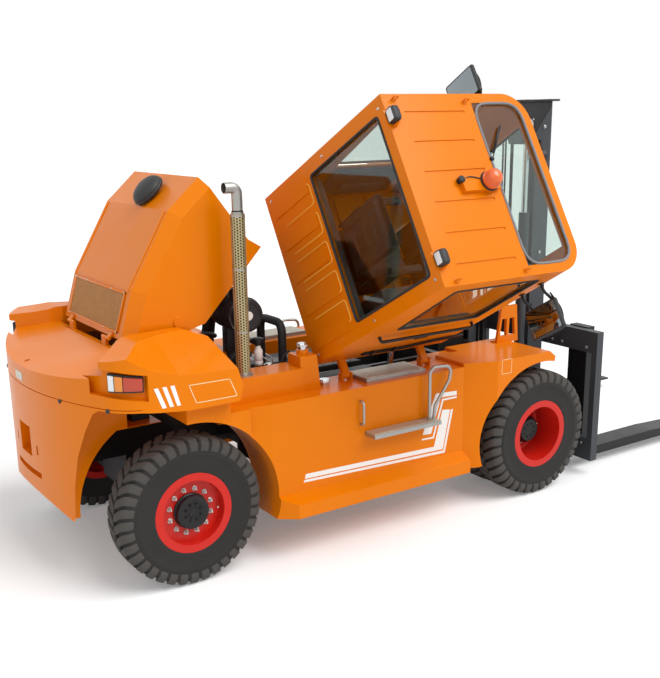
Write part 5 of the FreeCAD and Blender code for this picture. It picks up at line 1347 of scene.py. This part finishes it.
    def radiator_fins(self) -> None:
        """The core's fins and its header tank's cap."""
        corners = [Station.TRUCK.matrix().inverted() @ v.co for v in frame["nodes"]["radiator"].data.vertices]
        low, high = (Vector([end(c[i] for c in corners) for i in range(3)]) for end in (min, max))
        fin = block((high.x - 0.001, low.y + 0.03, low.z + 0.04), (high.x + 0.006, high.y - 0.03,
            low.z + 0.043), 0.0008, 1)
        self.add("radiator_fins", "black", Bench.row(fin, self.fins + 1,
            (0, 0, (high.z - low.z - 0.12) / self.fins)), lathe(((0.03, 0), (0.03, 0.012), (0.022, 0.018)),
            ((low.x + high.x) / 2, 0.2, high.z - 0.001), 24))

    def build(self) -> None:
        """Makes everything in the bay."""
        self.cleaner()
        self.plumbing()
        self.covers()
        self.radiator_fins()


# ---------------------------------------------------------------- cab

@dataclass
class CabTrim(Assembly):
    """Seals, lamps, beacon, wiper, lifting eyes, mirrors and hardware on the outside of the cab."""

    station = Station.CAB
    body = "cab"
    floor: float = 1.29
    roof: float = 2.86
    rear_low: float = 1.25
    lean: float = 0.15
    half_width: float = 0.72
    front: float = 2.74
    seal: float = 0.011
    beacon_x: float = 2.07

    def rear(self, z: float, out: float = 0.0) -> float:
        """Where the leaning rear face stands.

        Args:
            z: the height.
            out: how far behind the face.
        Returns:
            The place along X.
        """
        return self.rear_low + self.lean * (z - self.floor) / (self.roof - self.floor) - out

    def seals(self) -> None:
        """The rubber round each pane."""
        def around(low: Flat, high: Flat) -> tuple[Flat, ...]:
            """The corners of a pane, in order."""
            return (low, (high[0], low[1]), high, (low[0], high[1]))

        rear = [(self.rear(z, -0.002), y, z) for y, z in around((-0.598, 1.912), (0.598, 2.768))]
        front = [(self.front - 0.002, y, z) for y, z in around((-0.498, 1.527), (0.498, 2.758))]
        right = [(x, -self.half_width + 0.002, z) for x, z in around((1.602, 1.967), (2.398, 2.728))]
        self.add("window_seals", "seal", *[tube(pane, self.seal, bend, 12, True) for pane,
            bend in ((rear, 0.03), (front, 0.04), (right, 0.03))], smooth=50)
        door = [(x, self.half_width + 0.003, z) for x, z in around((1.612, 1.867), (2.368, 2.688))]
        self.add("door_window_seal", "seal", tube(door, 0.009, 0.03, 12, True), body="door", smooth=50)
        roof = [(x, y, self.roof - 0.001) for x, y in around((2.204, -0.641), (2.661, 0.641))]
        self.add("roof_window_seal", "grey_seal", tube(roof, 0.0105, 0.145, 12, True), smooth=50)

    def presses(self) -> None:
        """The raised beads of the rear wall's five pressed panels, and its screws."""
        panels = [[(self.rear(z, 0.001), y + off, z) for off, z in ((-0.085, 1.46), (-0.085, 1.865),
            (0.085, 1.865), (0.085, 1.46))] for y in (-0.48 + 0.24 * i for i in range(5))]
        # The beads are paler orange than the wall: a painted highlight where their raised edges catch the
        # light.
        self.add("rear_wall_beads", "highlight_orange", *[tube(panel, 0.0055, 0.035, 8) for panel in panels],
            smooth=50)
        self.add("rear_wall_screws", "bright", *[lathe(((0.012, 0), (0.011, 0.004), (0.006, 0.006)),
            (self.rear(z), y, z), 16, BACK) for y, z in ((-0.64, 2.80), (0.64, 2.80), (-0.66, 1.36),
            (0.66, 1.36), (-0.66, 2.1), (0.66, 2.1))])

    def lamp(self, y: float) -> tuple[Piece, Piece, Piece]:
        """A square work lamp that faces back, on a folded bracket.

        Args:
            y: its place across the cab.
        Returns:
            Housing, lens and bracket.
        """
        x, z, deck = 1.435, self.roof + 0.052, self.roof

        def box(low: Point, high: Point, edge: float, segments: int) -> Piece:
            """A block round the lamp's middle."""
            return block([a + b for a, b in zip((x, y, z), low)], [a + b for a, b in zip((x, y, z), high)],
                edge, segments)

        housing = box((-0.05, -0.055, -0.042), (0.012, 0.055, 0.042), 0.018, 4)
        back = box((0.005, -0.035, -0.026), (0.024, 0.035, 0.026), 0.008, 3)
        fins = [box((0.008, -0.03 + 0.012 * i, -0.024), (0.0245, -0.0265 + 0.012 * i, 0.024), 0.001, 1)
            for i in range(6)]
        rim = tube([(x - 0.051, y + off, z + up) for off, up in ((-0.046, -0.033), (0.046, -0.033),
            (0.046, 0.033), (-0.046, 0.033))], 0.0055, 0.014, 10, True)
        lens = box((-0.0555, -0.044, -0.031), (-0.047, 0.044, 0.031), 0.004, 3)
        foot = sheet([(x + a, y + b, deck + 0.0005) for a, b in ((-0.06, -0.062), (0.025, -0.062),
            (0.025, 0.062), (-0.06, 0.062))], (0, 0, 0.006), 0.002)
        cheeks = [sheet([(x + a, y + s * 0.0575, up) for a, up in ((-0.02, deck + 0.003),
            (0.02, deck + 0.003), (0.008, z + 0.012), (-0.012, z + 0.012))], (0, 0.003 * s, 0), 0.001)
            for s in SIDES]
        return joined([housing, back, rim, *fins]), lens, joined([foot, *cheeks])

    def lamps(self) -> None:
        """Both work lamps."""
        housings, lenses, brackets = zip(*[self.lamp(y) for y in (0.53, -0.53)])
        self.add("work_lamp_housings", "plastic", *housings, smooth=40, replaces=("work_lights",))
        self.add("work_lamp_lenses", "clear_lens", *lenses, smooth=40)
        self.add("work_lamp_brackets", "orange", *brackets)

    def beacon(self) -> None:
        """The flashing beacon: a ribbed dome, its base, its plug and its cable."""
        place = Vector((self.beacon_x, 0, self.roof + 0.040))
        rings = [(0.066, 0.006), (0.066, 0.02), (0.071, 0.022), (0.071, 0.03), (0.067, 0.032)]
        for i in range(5):
            rings += [(0.0668 - 0.0008 * i, 0.036 + 0.008 * i), (0.0648 - 0.0008 * i, 0.040 + 0.008 * i)]
        rings += [(0.060, 0.080), (0.052, 0.094), (0.038, 0.105), (0.02, 0.1115), (0, 0.113)]
        self.add("beacon_dome", "amber", lathe(rings, place, 64), smooth=28, replaces=("beacon",))
        nut = lathe(((0.008, 0), (0.008, 0.007), (0.005, 0.01)), sides=6)
        plug = ((0.022, 0), (0.022, 0.03), (0.027, 0.032), (0.027, 0.042), (0.016, 0.05))
        self.add("beacon_base_and_buzzer", "plastic", lathe(((0.077, 0.0002), (0.077, 0.006),
            (0.074, 0.009)), place, 48), Bench.wreath(nut, 3, "Z", Matrix.Translation(place),
            moved(0.071)), lathe(plug, (1.83, 0.03, self.roof + 0.001), 24),
            tube([(x, y, self.roof + up) for x, y, up in ((1.84, 0.03, 0.03), (1.90, 0.045, 0.047),
            (1.97, 0.03, 0.045), (2.0, 0.02, 0.043))], 0.0045), smooth=40)

    def wiper(self) -> None:
        """The roof wiper: motor cap, arm and blade."""
        pivot, tip = Vector((2.207, 0.189, self.roof)), Vector((2.399, 0.452, self.roof))
        cap = lathe(((0.018, 0), (0.018, 0.012), (0.012, 0.02), (0, 0.022)), pivot, 24)
        arm = tube([pivot.lerp(tip, share) + Vector((0, 0, up)) for share, up in ((0, 0.016), (0.3, 0.022),
            (0.62, 0.012))], 0.005, 0.05, 8)
        along = (tip - pivot).normalized()
        over = Vector((-along.y, along.x, 0))
        start = pivot.lerp(tip, 0.18)
        blades = [sheet([end + over * width * s + Vector((0, 0, low)) for end, s in ((start, -1),
            (tip, -1), (tip, 1), (start, 1))], (0, 0, high - low), 0.001) for width, low,
            high in ((0.003, -0.011, 0.004), (0.007, 0.003, 0.010))]
        self.add("roof_wiper", "black", cap, arm, *blades, smooth=40)

    def lifting_eyes(self) -> None:
        """The eye bolts near the roof's corners."""
        eyes = []
        for x, y in ((2.14, 0.655), (1.50, 0.675), (1.52, -0.685), (2.165, -0.675)):
            loop = [(x + 0.02 * math.cos(a), y, self.roof + 0.027 + 0.02 * math.sin(a))
                for a in (2 * math.pi * i / 16 for i in range(16))]
            eyes += [lathe(((0.02, 0), (0.02, 0.006), (0.01, 0.009)), (x, y, self.roof), 20),
                tube(loop, 0.0055, 0.002, 12, True)]
        self.add("lifting_eyes", "orange", *eyes, smooth=45)

    def mirrors(self) -> None:
        """Rounded mirror heads with glass, tube arms and a guard loop."""
        heads, glasses, arms = [], [], []
        levels = (2.41, 2.63)
        for side in (1, -1):
            y0, y1 = sorted((side * 0.852, side * 1.088))
            heads += [block((2.5185, y0, 2.342), (2.5575, y1, 2.688), 0.018, 4),
                tube([(2.519, y, z) for y, z in ((y0 + 0.012, 2.354), (y1 - 0.012, 2.354),
                (y1 - 0.012, 2.676), (y0 + 0.012, 2.676))], 0.0055, 0.02, 10, True)]
            glasses.append(block((2.5155, y0 + 0.014, 2.356), (2.522, y1 - 0.014, 2.674)))
            arms += [tube([(x, side * y, z) for x, y in ((2.50, 0.7205), (2.50, 0.78), (2.565, 0.86),
                (2.565, 1.02))], 0.0115, 0.03, 14) for z in levels]
            arms.append(tube([(x, side * y, z) for x, y, z in ((2.56, 0.80, 2.41), (2.568, 0.95, 2.36),
                (2.568, 1.085, 2.40), (2.568, 1.085, 2.64), (2.568, 0.95, 2.68), (2.56, 0.80, 2.63))],
                0.007, 0.05))
            arms += [lathe(((0.024, 0), (0.024, 0.005), (0.013, 0.008)), (2.50, side * 0.7204, z), 20,
                (0, side, 0)) for z in levels]
            heads += [block((2.545, side * 0.97 - 0.018, z - 0.02), (2.576, side * 0.97 + 0.018, z + 0.02),
                0.005) for z in levels]
        self.add("mirror_heads", "plastic", *heads, smooth=40, replaces=("mirrors",))
        self.add("mirror_glasses", "mirror", *glasses, smooth=40)
        self.add("mirror_arms", "black", *arms, smooth=40)

    def hardware(self) -> None:
        """The door's pull, the right wall's rail, catch and hoses, and the channels under the floor."""
        y = self.half_width + 0.0022
        pull = tube([(x, y + out, 1.76) for x, out in ((1.615, 0.004), (1.615, 0.014), (1.705, 0.014),
            (1.705, 0.004))], 0.004, 0.008)
        self.add("door_handle", "plastic", block((1.60, y - 0.002, 1.72), (1.72, y + 0.006, 1.80), 0.003,
            3), pull, body="door", smooth=40)
        y = -self.half_width
        rail = tube([(x, y + out, 1.84) for x, out in ((1.52, 0.002), (1.52, -0.045), (2.44, -0.045),
            (2.44, 0.002))], 0.013, 0.035, 14)
        hoses = [tube([(x, y + out, z + 0.03 * i) for x, out, z in ((1.62, -0.008, 1.40),
            (2.0, -0.012, 1.40), (2.30, -0.012, 1.46), (2.62, -0.008, 1.46))], 0.0085, 0.06)
            for i in range(2)]
        clips = [block((x, y - 0.024, 1.385), (x + 0.02, y + 0.002, 1.45), 0.003) for x in (1.70, 1.92)]
        self.add("right_wall_rail_and_hoses", "black", rail, block((2.0, y - 0.014, 1.62),
            (2.13, y + 0.002, 1.70), 0.006, 3), *hoses, *clips, smooth=45)
        z = self.floor
        self.add("cab_floor_channels", "black", *[block((1.36, y - 0.03, z - 0.008), (2.66, y + 0.03,
            z + 0.002), 0.003) for y in (-0.3, 0.3)], *[lathe(((0.03, 0), (0.03, 0.007), (0.012, 0.009)),
            (x, y, z + 0.001), 20, (0, 0, -1)) for x in (1.42, 2.6) for y in (-0.55, 0.55)])

    def build(self) -> None:
        """Makes the outside of the cab."""
        self.seals()
        self.presses()
        self.lamps()
        self.beacon()
        self.wiper()
        self.lifting_eyes()
        self.mirrors()
        self.hardware()


@dataclass(frozen=True)
class Pad:
    """A pad of the seat: its block before it swells, and the seams across its middle panel."""

    name: str
    node: str
    low: Point
    high: Point
    panel: float
    axis: int
    seams: tuple[float, ...]
    voxel: float = 0.006
    pressure: float = 4.0
    swell: float = 0.011
    frames: int = 20
    seam_width: float = 0.007
    seam_depth: float = 0.006

    def seam_distance(self, co: Vector) -> float:
        """How far a point is from the nearest seam.

        Args:
            co: the point.
        Returns:
            The distance, at most a metre.
        """
        beside = abs(abs(co.y) - self.panel)
        if abs(co.y) >= self.panel:
            return min(beside, 1.0)
        return min(beside, *(abs(co[self.axis] - seam) for seam in self.seams))

    def stuffed(self) -> Piece:
        """The block blown up by a cloth simulation that swells it by no more than its limit.

        Returns:
            The stuffed block.
        """
        piece = block(self.low, self.high, 0.03, 4)
        remesh = piece.modifiers.new("even", "REMESH")
        remesh.mode = "VOXEL"
        remesh.voxel_size = self.voxel * 1
        Bench.settle(piece)
        start = [vertex.co.copy() for vertex in piece.data.vertices]
        cloth = piece.modifiers.new("stuffing", "CLOTH")
        cloth.settings.use_pressure = True
        cloth.settings.uniform_pressure_force = self.pressure
        cloth.settings.effector_weights.gravity = 0
        cloth.point_cache.frame_end = self.frames
        for number in range(1, self.frames + 1):
            bpy.context.scene.frame_set(number)
        Bench.settle(piece)
        bpy.context.scene.frame_set(1)
        for vertex, old in zip(piece.data.vertices, start):
            move = vertex.co - old
            if move.length > self.swell:
                vertex.co = old + move.normalized() * self.swell
        return piece

    def sewn(self) -> Piece:
        """The stuffed pad with its sewn channels pressed in.

        Returns:
            The finished pad.
        """
        piece = self.stuffed()
        for vertex, normal in [(v, v.normal.copy()) for v in piece.data.vertices]:
            near = math.exp(-(self.seam_distance(vertex.co) / self.seam_width) ** 2)
            vertex.co = vertex.co - normal * self.seam_depth * near
        smooth = piece.modifiers.new("soft", "SUBSURF")
        smooth.levels = smooth.render_levels = 1
        return Bench.settle(piece)


@dataclass
class CabInterior(Assembly):
    """The driver's seat, the wheel, levers, pedals, armrests and the mat."""

    station = Station.CAB
    body = "cab"
    pads: tuple[Pad, ...] = (Pad("seat_cushion_pad", "seat_cushion", (1.575, -0.236, 1.702),
        (2.028, 0.236, 1.812), 0.125, 0, (1.76, 1.90)), Pad("seat_back_pad", "seat_back",
        (1.487, -0.226, 1.826), (1.574, 0.226, 2.368), 0.12, 2, (1.99, 2.13, 2.25)))
    wheel_centre: Point = (2.33, 0, 2.06)
    wheel_axis: Point = (-0.35, 0, 1)
    wheel_radius: float = 0.17
    lever_sides: tuple[float, ...] = (-0.36, -0.41, -0.46, -0.51)
    pedal_sides: tuple[float, ...] = (-0.15, -0.28, 0.2)

    def seat(self) -> None:
        """Both pads of the seat, its armrests and its belt anchors."""
        for pad in self.pads:
            self.add(pad.name, "vinyl", pad.sewn(), smooth=60, replaces=(pad.node,))
        bars = [tube([(x, s * y, z) for x, y, z in ((1.60, 0.262, 1.68), (1.60, 0.262, 1.80),
            (1.59, 0.27, 1.95), (1.66, 0.28, 2.02), (1.90, 0.28, 2.02))], 0.011, 0.04, 12) for s in SIDES]
        rests = [block((1.66, s * 0.285 - 0.032, 2.018), (1.96, s * 0.285 + 0.032, 2.058), 0.014, 4)
            for s in SIDES]
        belts = [block((1.60, s * 0.272 - 0.008, 1.70), (1.64, s * 0.272 + 0.008, 1.79), 0.005)
            for s in SIDES]
        self.add("seat_armrests", "plastic", *bars, *rests, *belts, smooth=40)

    def wheel(self) -> None:
        """The steering wheel with its hub, shaft and knob."""
        centre, axis, side = Vector(self.wheel_centre), Vector(self.wheel_axis).normalized(), Vector(LEFT)
        over = axis.cross(side)

        def spoke(angle: float, length: float) -> Vector:
            """A point of the wheel's plane."""
            return centre + (side * math.cos(angle) + over * math.sin(angle)) * length

        rim = tube([spoke(2 * math.pi * i / 40, self.wheel_radius) for i in range(40)], 0.0125, 0.001, 12,
            True)
        spokes = [tube([centre + axis * -0.02, spoke(math.radians(a), self.wheel_radius - 0.005)], 0.009,
            0) for a in (90, 210, 330)]
        hub = ((0.022, -0.05), (0.045, -0.028), (0.045, -0.008), (0.03, 0.0), (0, 0.002))
        knob = ((0.012, 0), (0.018, 0.02), (0.02, 0.035), (0.012, 0.05), (0, 0.052))
        self.add("steering_wheel", "plastic", rim, *spokes, lathe(hub, centre, 32, axis),
            tube([(2.345, 0, 1.99), centre - axis * 0.045], 0.018, 0, 16),
            lathe(knob, centre + side * 0.165 + axis * 0.005, 20, axis), smooth=50)

    def controls(self) -> None:
        """Levers, the console and dash, pedals and the mat."""
        knob = ((0.008, 0), (0.016, 0.012), (0.018, 0.028), (0.01, 0.042), (0, 0.044))
        boot = ((0.022, 0), (0.019, 0.008), (0.015, 0.012), (0.016, 0.018), (0.01, 0.026), (0, 0.028))
        self.add("control_levers", "bright", *[tube([(2.0, y, 1.79), (2.02, y, 1.9), (2.0, y, 2.0)], 0.006,
            0.05) for y in self.lever_sides], smooth=50)
        self.add("lever_knobs", "rubber", *[lathe(knob, (2.0, y, 1.995), 20, (-0.05, 0, 1))
            for y in self.lever_sides], *[lathe(boot, (2.0, y, 1.798), 20) for y in self.lever_sides],
            smooth=50)
        self.add("side_console_and_dash", "grey_plastic", block((1.70, -0.56, 1.33), (2.14, -0.33, 1.80),
            0.02, 3), block((2.40, -0.34, 1.845), (2.66, 0.34, 1.93), 0.03, 4), block((2.36, -0.14, 1.90),
            (2.56, 0.14, 2.0), 0.03, 4), smooth=40)
        pedals = [block((2.28, y - 0.035, 1.345), (2.37, y + 0.035, 1.362), 0.005) for y in self.pedal_sides]
        stems = [tube([(2.33, y, 1.355), (2.40, y, 1.42)], 0.009, 0) for y in self.pedal_sides]
        ribs = Bench.row(block((1.50, -0.6, 1.324), (1.506, 0.6, 1.328), 0.001, 1), 38, (0.03, 0, 0))
        self.add("floor_mat_and_pedals", "rubber", *pedals, *stems, block((1.46, -0.62, 1.317),
            (2.66, 0.62, 1.325), 0.002), ribs, smooth=40)

    def lining(self) -> None:
        """The grey trim behind the seat, on the walls and on the door, and the roof's blind."""
        back = sheet([(1.316 + 0.0955 * (z - 1.33), y, z) for y, z in ((-0.64, 1.34), (0.64, 1.34),
            (0.64, 1.88), (-0.64, 1.88))], (0.006, 0, 0))
        self.add("cab_lining", "grey_plastic", block((1.372, -0.60, 1.80), (1.44, 0.60, 1.865), 0.012, 3),
            block((1.43, 0.32, 1.33), (1.62, 0.60, 1.62), 0.02, 3),
            *[block((1.42, s * 0.655 - 0.018, 1.35), (1.455, s * 0.655 + 0.018, 2.80), 0.01)
            for s in SIDES], block((1.46, -0.64, 2.798), (2.17, 0.64, 2.808)), block((1.50, -0.672, 1.34),
            (2.46, -0.664, 1.94), 0.003), block((2.42, -0.672, 1.94), (2.47, -0.655, 2.76)),
            block((2.672, -0.64, 1.34), (2.682, 0.64, 1.51), 0.003), back, smooth=40)
        self.add("door_lining", "grey_plastic", block((1.63, 0.668, 1.42), (2.35, 0.676, 1.84), 0.003),
            block((1.80, 0.642, 1.45), (2.25, 0.670, 1.60), 0.008), body="door", smooth=40)

    def build(self) -> None:
        """Makes the inside of the cab."""
        self.seat()
        self.wheel()
        self.controls()
        self.lining()


# ---------------------------------------------------------------- mast and carriage

@dataclass
class MastTrim(Assembly):
    """Head plates, lift chains, hoses, lamps and bolts of the mast, and the carriage's bolts."""

    body = "inner_mast"
    head: float = 3.604
    lamp: Point = (3.73, 0.66, 2.93)
    rail_bolt: Flat = (3.885, 0.563)
    chain: Flat = (3.845, 0.20)
    chain_run: Flat = (0.37, 3.22)
    link: float = 0.0254
    hose_x: float = 3.842
    hose_sides: tuple[float, ...] = (-0.12, -0.085, 0.085, 0.12)

    def chains(self) -> None:
        """The two lift chains: leaf plates and a pin at each link."""
        plates = [block((-0.009, y - 0.0022, -0.002), (0.009, y + 0.0022, self.link + 0.006), 0.004, 1)
            for y in (-0.012, -0.004, 0.004, 0.012)]
        pin = lathe(((0.0045, -0.018), (0.0045, 0.018)), sides=8, along=LEFT)
        (x, y), (low, high) = self.chain, self.chain_run
        count = int((high - low) / self.link)
        moves = [moved(x, s * y, low + self.link * i) for s in SIDES for i in range(count)]
        self.add("lift_chains", "oiled_steel", Bench.copies(joined([*plates, pin]), moves), smooth=30)

    def heads(self) -> None:
        """The dark gusset plates at the mast's head, with a bolted boss on each."""
        plates, bright = [], []
        x, y, z = self.head, 0.66, 3.2
        gusset = ((0.21, 3.40), (0.90, 3.40), (0.90, 3.345), (0.735, 3.13), (0.66, 3.03), (0.40, 3.03),
            (0.37, 3.13), (0.21, 3.345))
        boss = ((0.05, 0), (0.05, 0.008), (0.036, 0.012), (0.03, 0.022), (0.012, 0.024))
        for s in (1, -1):
            y0, y1 = sorted((s * 0.19, s * 0.92))
            plates += [sheet([(x, s * across, up) for across, up in gusset[::s]], (0.016, 0, 0), 0.003),
                block((x - 0.02, y0, 3.394), (x + 0.085, y1, 3.412))]
            bright.append(lathe(boss, (x, s * y, z), 36, BACK))
            for angle in (math.radians(45 + 90 * a) for a in range(4)):
                bright.append(lathe(((0.009, 0), (0.009, 0.007)), (x, s * y + 0.066 * math.cos(angle),
                    z + 0.066 * math.sin(angle)), 6, BACK))
        self.add("mast_head_plates", "dark", *plates)
        self.add("mast_head_bosses", "bright", *bright, smooth=40)

    def lamps(self) -> None:
        """A head lamp under each head plate."""
        shells, lenses = [], []
        shell = ((0.03, 0), (0.052, 0.02), (0.06, 0.045), (0.06, 0.075))
        for s in (1, -1):
            x, y, z = self.lamp[0], s * self.lamp[1], self.lamp[2]
            y0, y1 = sorted((s * 0.56, y))
            shells += [block((x - 0.005, y - 0.015, z), (x + 0.02, y + 0.015, z + 0.14)),
                block((x - 0.005, y0, z + 0.02), (x + 0.02, y1, z + 0.05)), lathe(shell, (x - 0.03, y, z),
                32, AHEAD)]
            lenses.append(lathe(((0.052, 0), (0.046, 0.005), (0, 0.008)), (x + 0.045, y, z), 32, AHEAD))
        self.add("mast_lamp_shells", "plastic", *shells, body="mast", smooth=40)
        self.add("mast_lamp_lenses", "clear_lens", *lenses, body="mast", smooth=40)

    def hoses(self) -> None:
        """Hydraulic lines and their fittings on the inner mast."""
        x = self.hose_x
        lines = [tube([(x, y, 0.40), (x, y, 1.6), (x, y, 3.22)], 0.009, 0.05) for y in self.hose_sides]
        ends = [lathe(((0.013, 0), (0.013, 0.03), (0.01, 0.034)), (x, y, z), 6) for y in self.hose_sides
            for z in (0.42, 3.18)]
        self.add("mast_hoses", "seal", *lines, smooth=50)
        self.add("mast_hose_fittings", "bright", *ends)

    def bolts(self) -> None:
        """Hexagon bolts along the rails' webs and on the carriage."""
        x, y = self.rail_bolt
        bolt = lathe(((0.017, 0), (0.017, 0.003), (0.012, 0.0035), (0.012, 0.011), (0, 0.012)), sides=6,
            along=LEFT)
        self.add("mast_rail_bolts", "bright", Bench.copies(bolt, [moved(x, s * y, z) @ mirrored(s)
            for s in SIDES for z in (0.45, 0.55, 1.95, 2.05, 3.18, 3.27)]), body="mast")
        bolt = lathe(((0.016, 0), (0.016, 0.01), (0.012, 0.013)), sides=6, along=BACK)
        self.add("carriage_bolts", "bright", Bench.copies(bolt, [moved(4.02, s * y, z) for s in (1, -1)
            for y in (0.66, 0.78, 1.08) for z in (1.22, 0.3)]), body="carriage")

    def build(self) -> None:
        """Makes the mast's trim."""
        self.chains()
        self.heads()
        self.lamps()
        self.hoses()
        self.bolts()


# ---------------------------------------------------------------- studio

@dataclass
class Studio:
    """The floor, the lamps and the camera."""

    floor_size: float = 120.0
    floor_colour: str = "#f4f4f4"
    world_strength: float = 0.5
    floor_glow: float = 0.16
    # Each sun: name, the way to it, its strength and its apparent width in degrees.
    suns: tuple[tuple[str, Point, float, float], ...] = (("key", (0.3, -0.55, 0.8), 2.3, 45),
        ("fill", (-0.7, -0.35, 0.6), 0.45, 60))
    picture: tuple[int, int] = (660, 678)
    focal_px: float = 970.0
    middle_px: Flat = (323.6, 385.2)
    camera_place: Point = (-2.77, -7.0, 3.3)
    yaw: float = 56.7
    pitch: float = 15.5
    roll: float = -0.9
    sensor: float = 36.0

    def floor(self) -> None:
        """A plain pale floor that glows a little for the camera only."""
        Bench.clear()
        bpy.ops.mesh.primitive_plane_add(size=self.floor_size, location=(0, 0, -0.001))
        plane = bpy.context.object
        plane.name = "studio_floor"
        material = Finish("studio_floor_paper", self.floor_colour, self.floor_colour, roughness=0.9,
            relief_mm=0.0, shine=0.0).make()
        tree = material.node_tree
        path = add_node(tree, "ShaderNodeLightPath").outputs
        glow = add_node(tree, "ShaderNodeMath", {"operation": "MULTIPLY", 1: self.floor_glow},
            {0: path["Is Camera Ray"]})
        shader = tree.nodes["Principled BSDF"]
        shader.inputs["Emission Color"].default_value = linear("#ffffff")
        tree.links.new(glow.outputs[0], shader.inputs["Emission Strength"])
        plane.data.materials.append(material)

    def world(self) -> None:
        """White behind everything, and a softer white that lights it."""
        world = bpy.data.worlds.new("studio_world")
        bpy.context.scene.world = world
        world.use_nodes = True
        tree = world.node_tree
        path = add_node(tree, "ShaderNodeLightPath").outputs
        seen = path["Is Camera Ray"]
        for ray in ("Is Glossy Ray", "Is Transmission Ray"):
            seen = add_node(tree, "ShaderNodeMath", {"operation": "MAXIMUM"},
                {0: seen, 1: path[ray]}).outputs[0]
        strength = add_node(tree, "ShaderNodeMapRange", {"To Min": self.world_strength, "To Max": 1.0},
            {"Value": seen})
        background = tree.nodes["Background"]
        tree.links.new(strength.outputs["Result"], background.inputs["Strength"])
        background.inputs["Color"].default_value = linear("#ffffff")

    def lamps(self) -> None:
        """The far soft lamps."""
        for name, towards, energy, softness in self.suns:
            data = bpy.data.lights.new(name, "SUN")
            data.energy = energy
            data.angle = math.radians(softness)
            Bench.linked(name, data).rotation_euler = Vector(towards).to_track_quat("Z", "Y").to_euler()

    def camera(self) -> None:
        """The camera, at its measured place and angle."""
        yaw, pitch, roll = (math.radians(a) for a in (self.yaw, self.pitch, self.roll))
        ahead = Vector((math.cos(pitch) * math.cos(yaw), math.cos(pitch) * math.sin(yaw), -math.sin(pitch)))
        level = Vector((math.sin(yaw), -math.cos(yaw), 0))
        right = math.cos(roll) * level + math.sin(roll) * level.cross(ahead)
        data = bpy.data.cameras.new("camera")
        width, height = self.picture
        longest = max(width, height)
        data.sensor_width = self.sensor
        data.lens = self.focal_px * self.sensor / longest
        data.shift_x = (width / 2 - self.middle_px[0]) / longest
        data.shift_y = (self.middle_px[1] - height / 2) / longest
        data.clip_end = 500
        camera = Bench.linked("camera", data)
        turn = Matrix((right, right.cross(ahead), -ahead)).transposed().to_4x4()
        camera.matrix_world = Matrix.Translation(truck_origin() + Vector(self.camera_place)) @ turn
        bpy.context.scene.camera = camera

    def build(self) -> None:
        """Sets up the whole studio."""
        self.floor()
        self.world()
        self.lamps()
        self.camera()
        bpy.context.scene.view_settings.view_transform = "Standard"


def main() -> None:
    """Builds every sub-assembly in order, then the studio."""
    logging.basicConfig(level=logging.INFO, format="%(message)s")
    dress_frame()
    for part in (Wheels(), RearLamp(), CounterweightTrim(), TankTrim(), HoodTrim(), Exhaust(), EngineBay(),
            CabTrim(), CabInterior(), MastTrim()):
        part.build()
    Studio().build()
    log.info("%d pieces", len(Assembly.made))


if __name__ == "__main__":
    main()
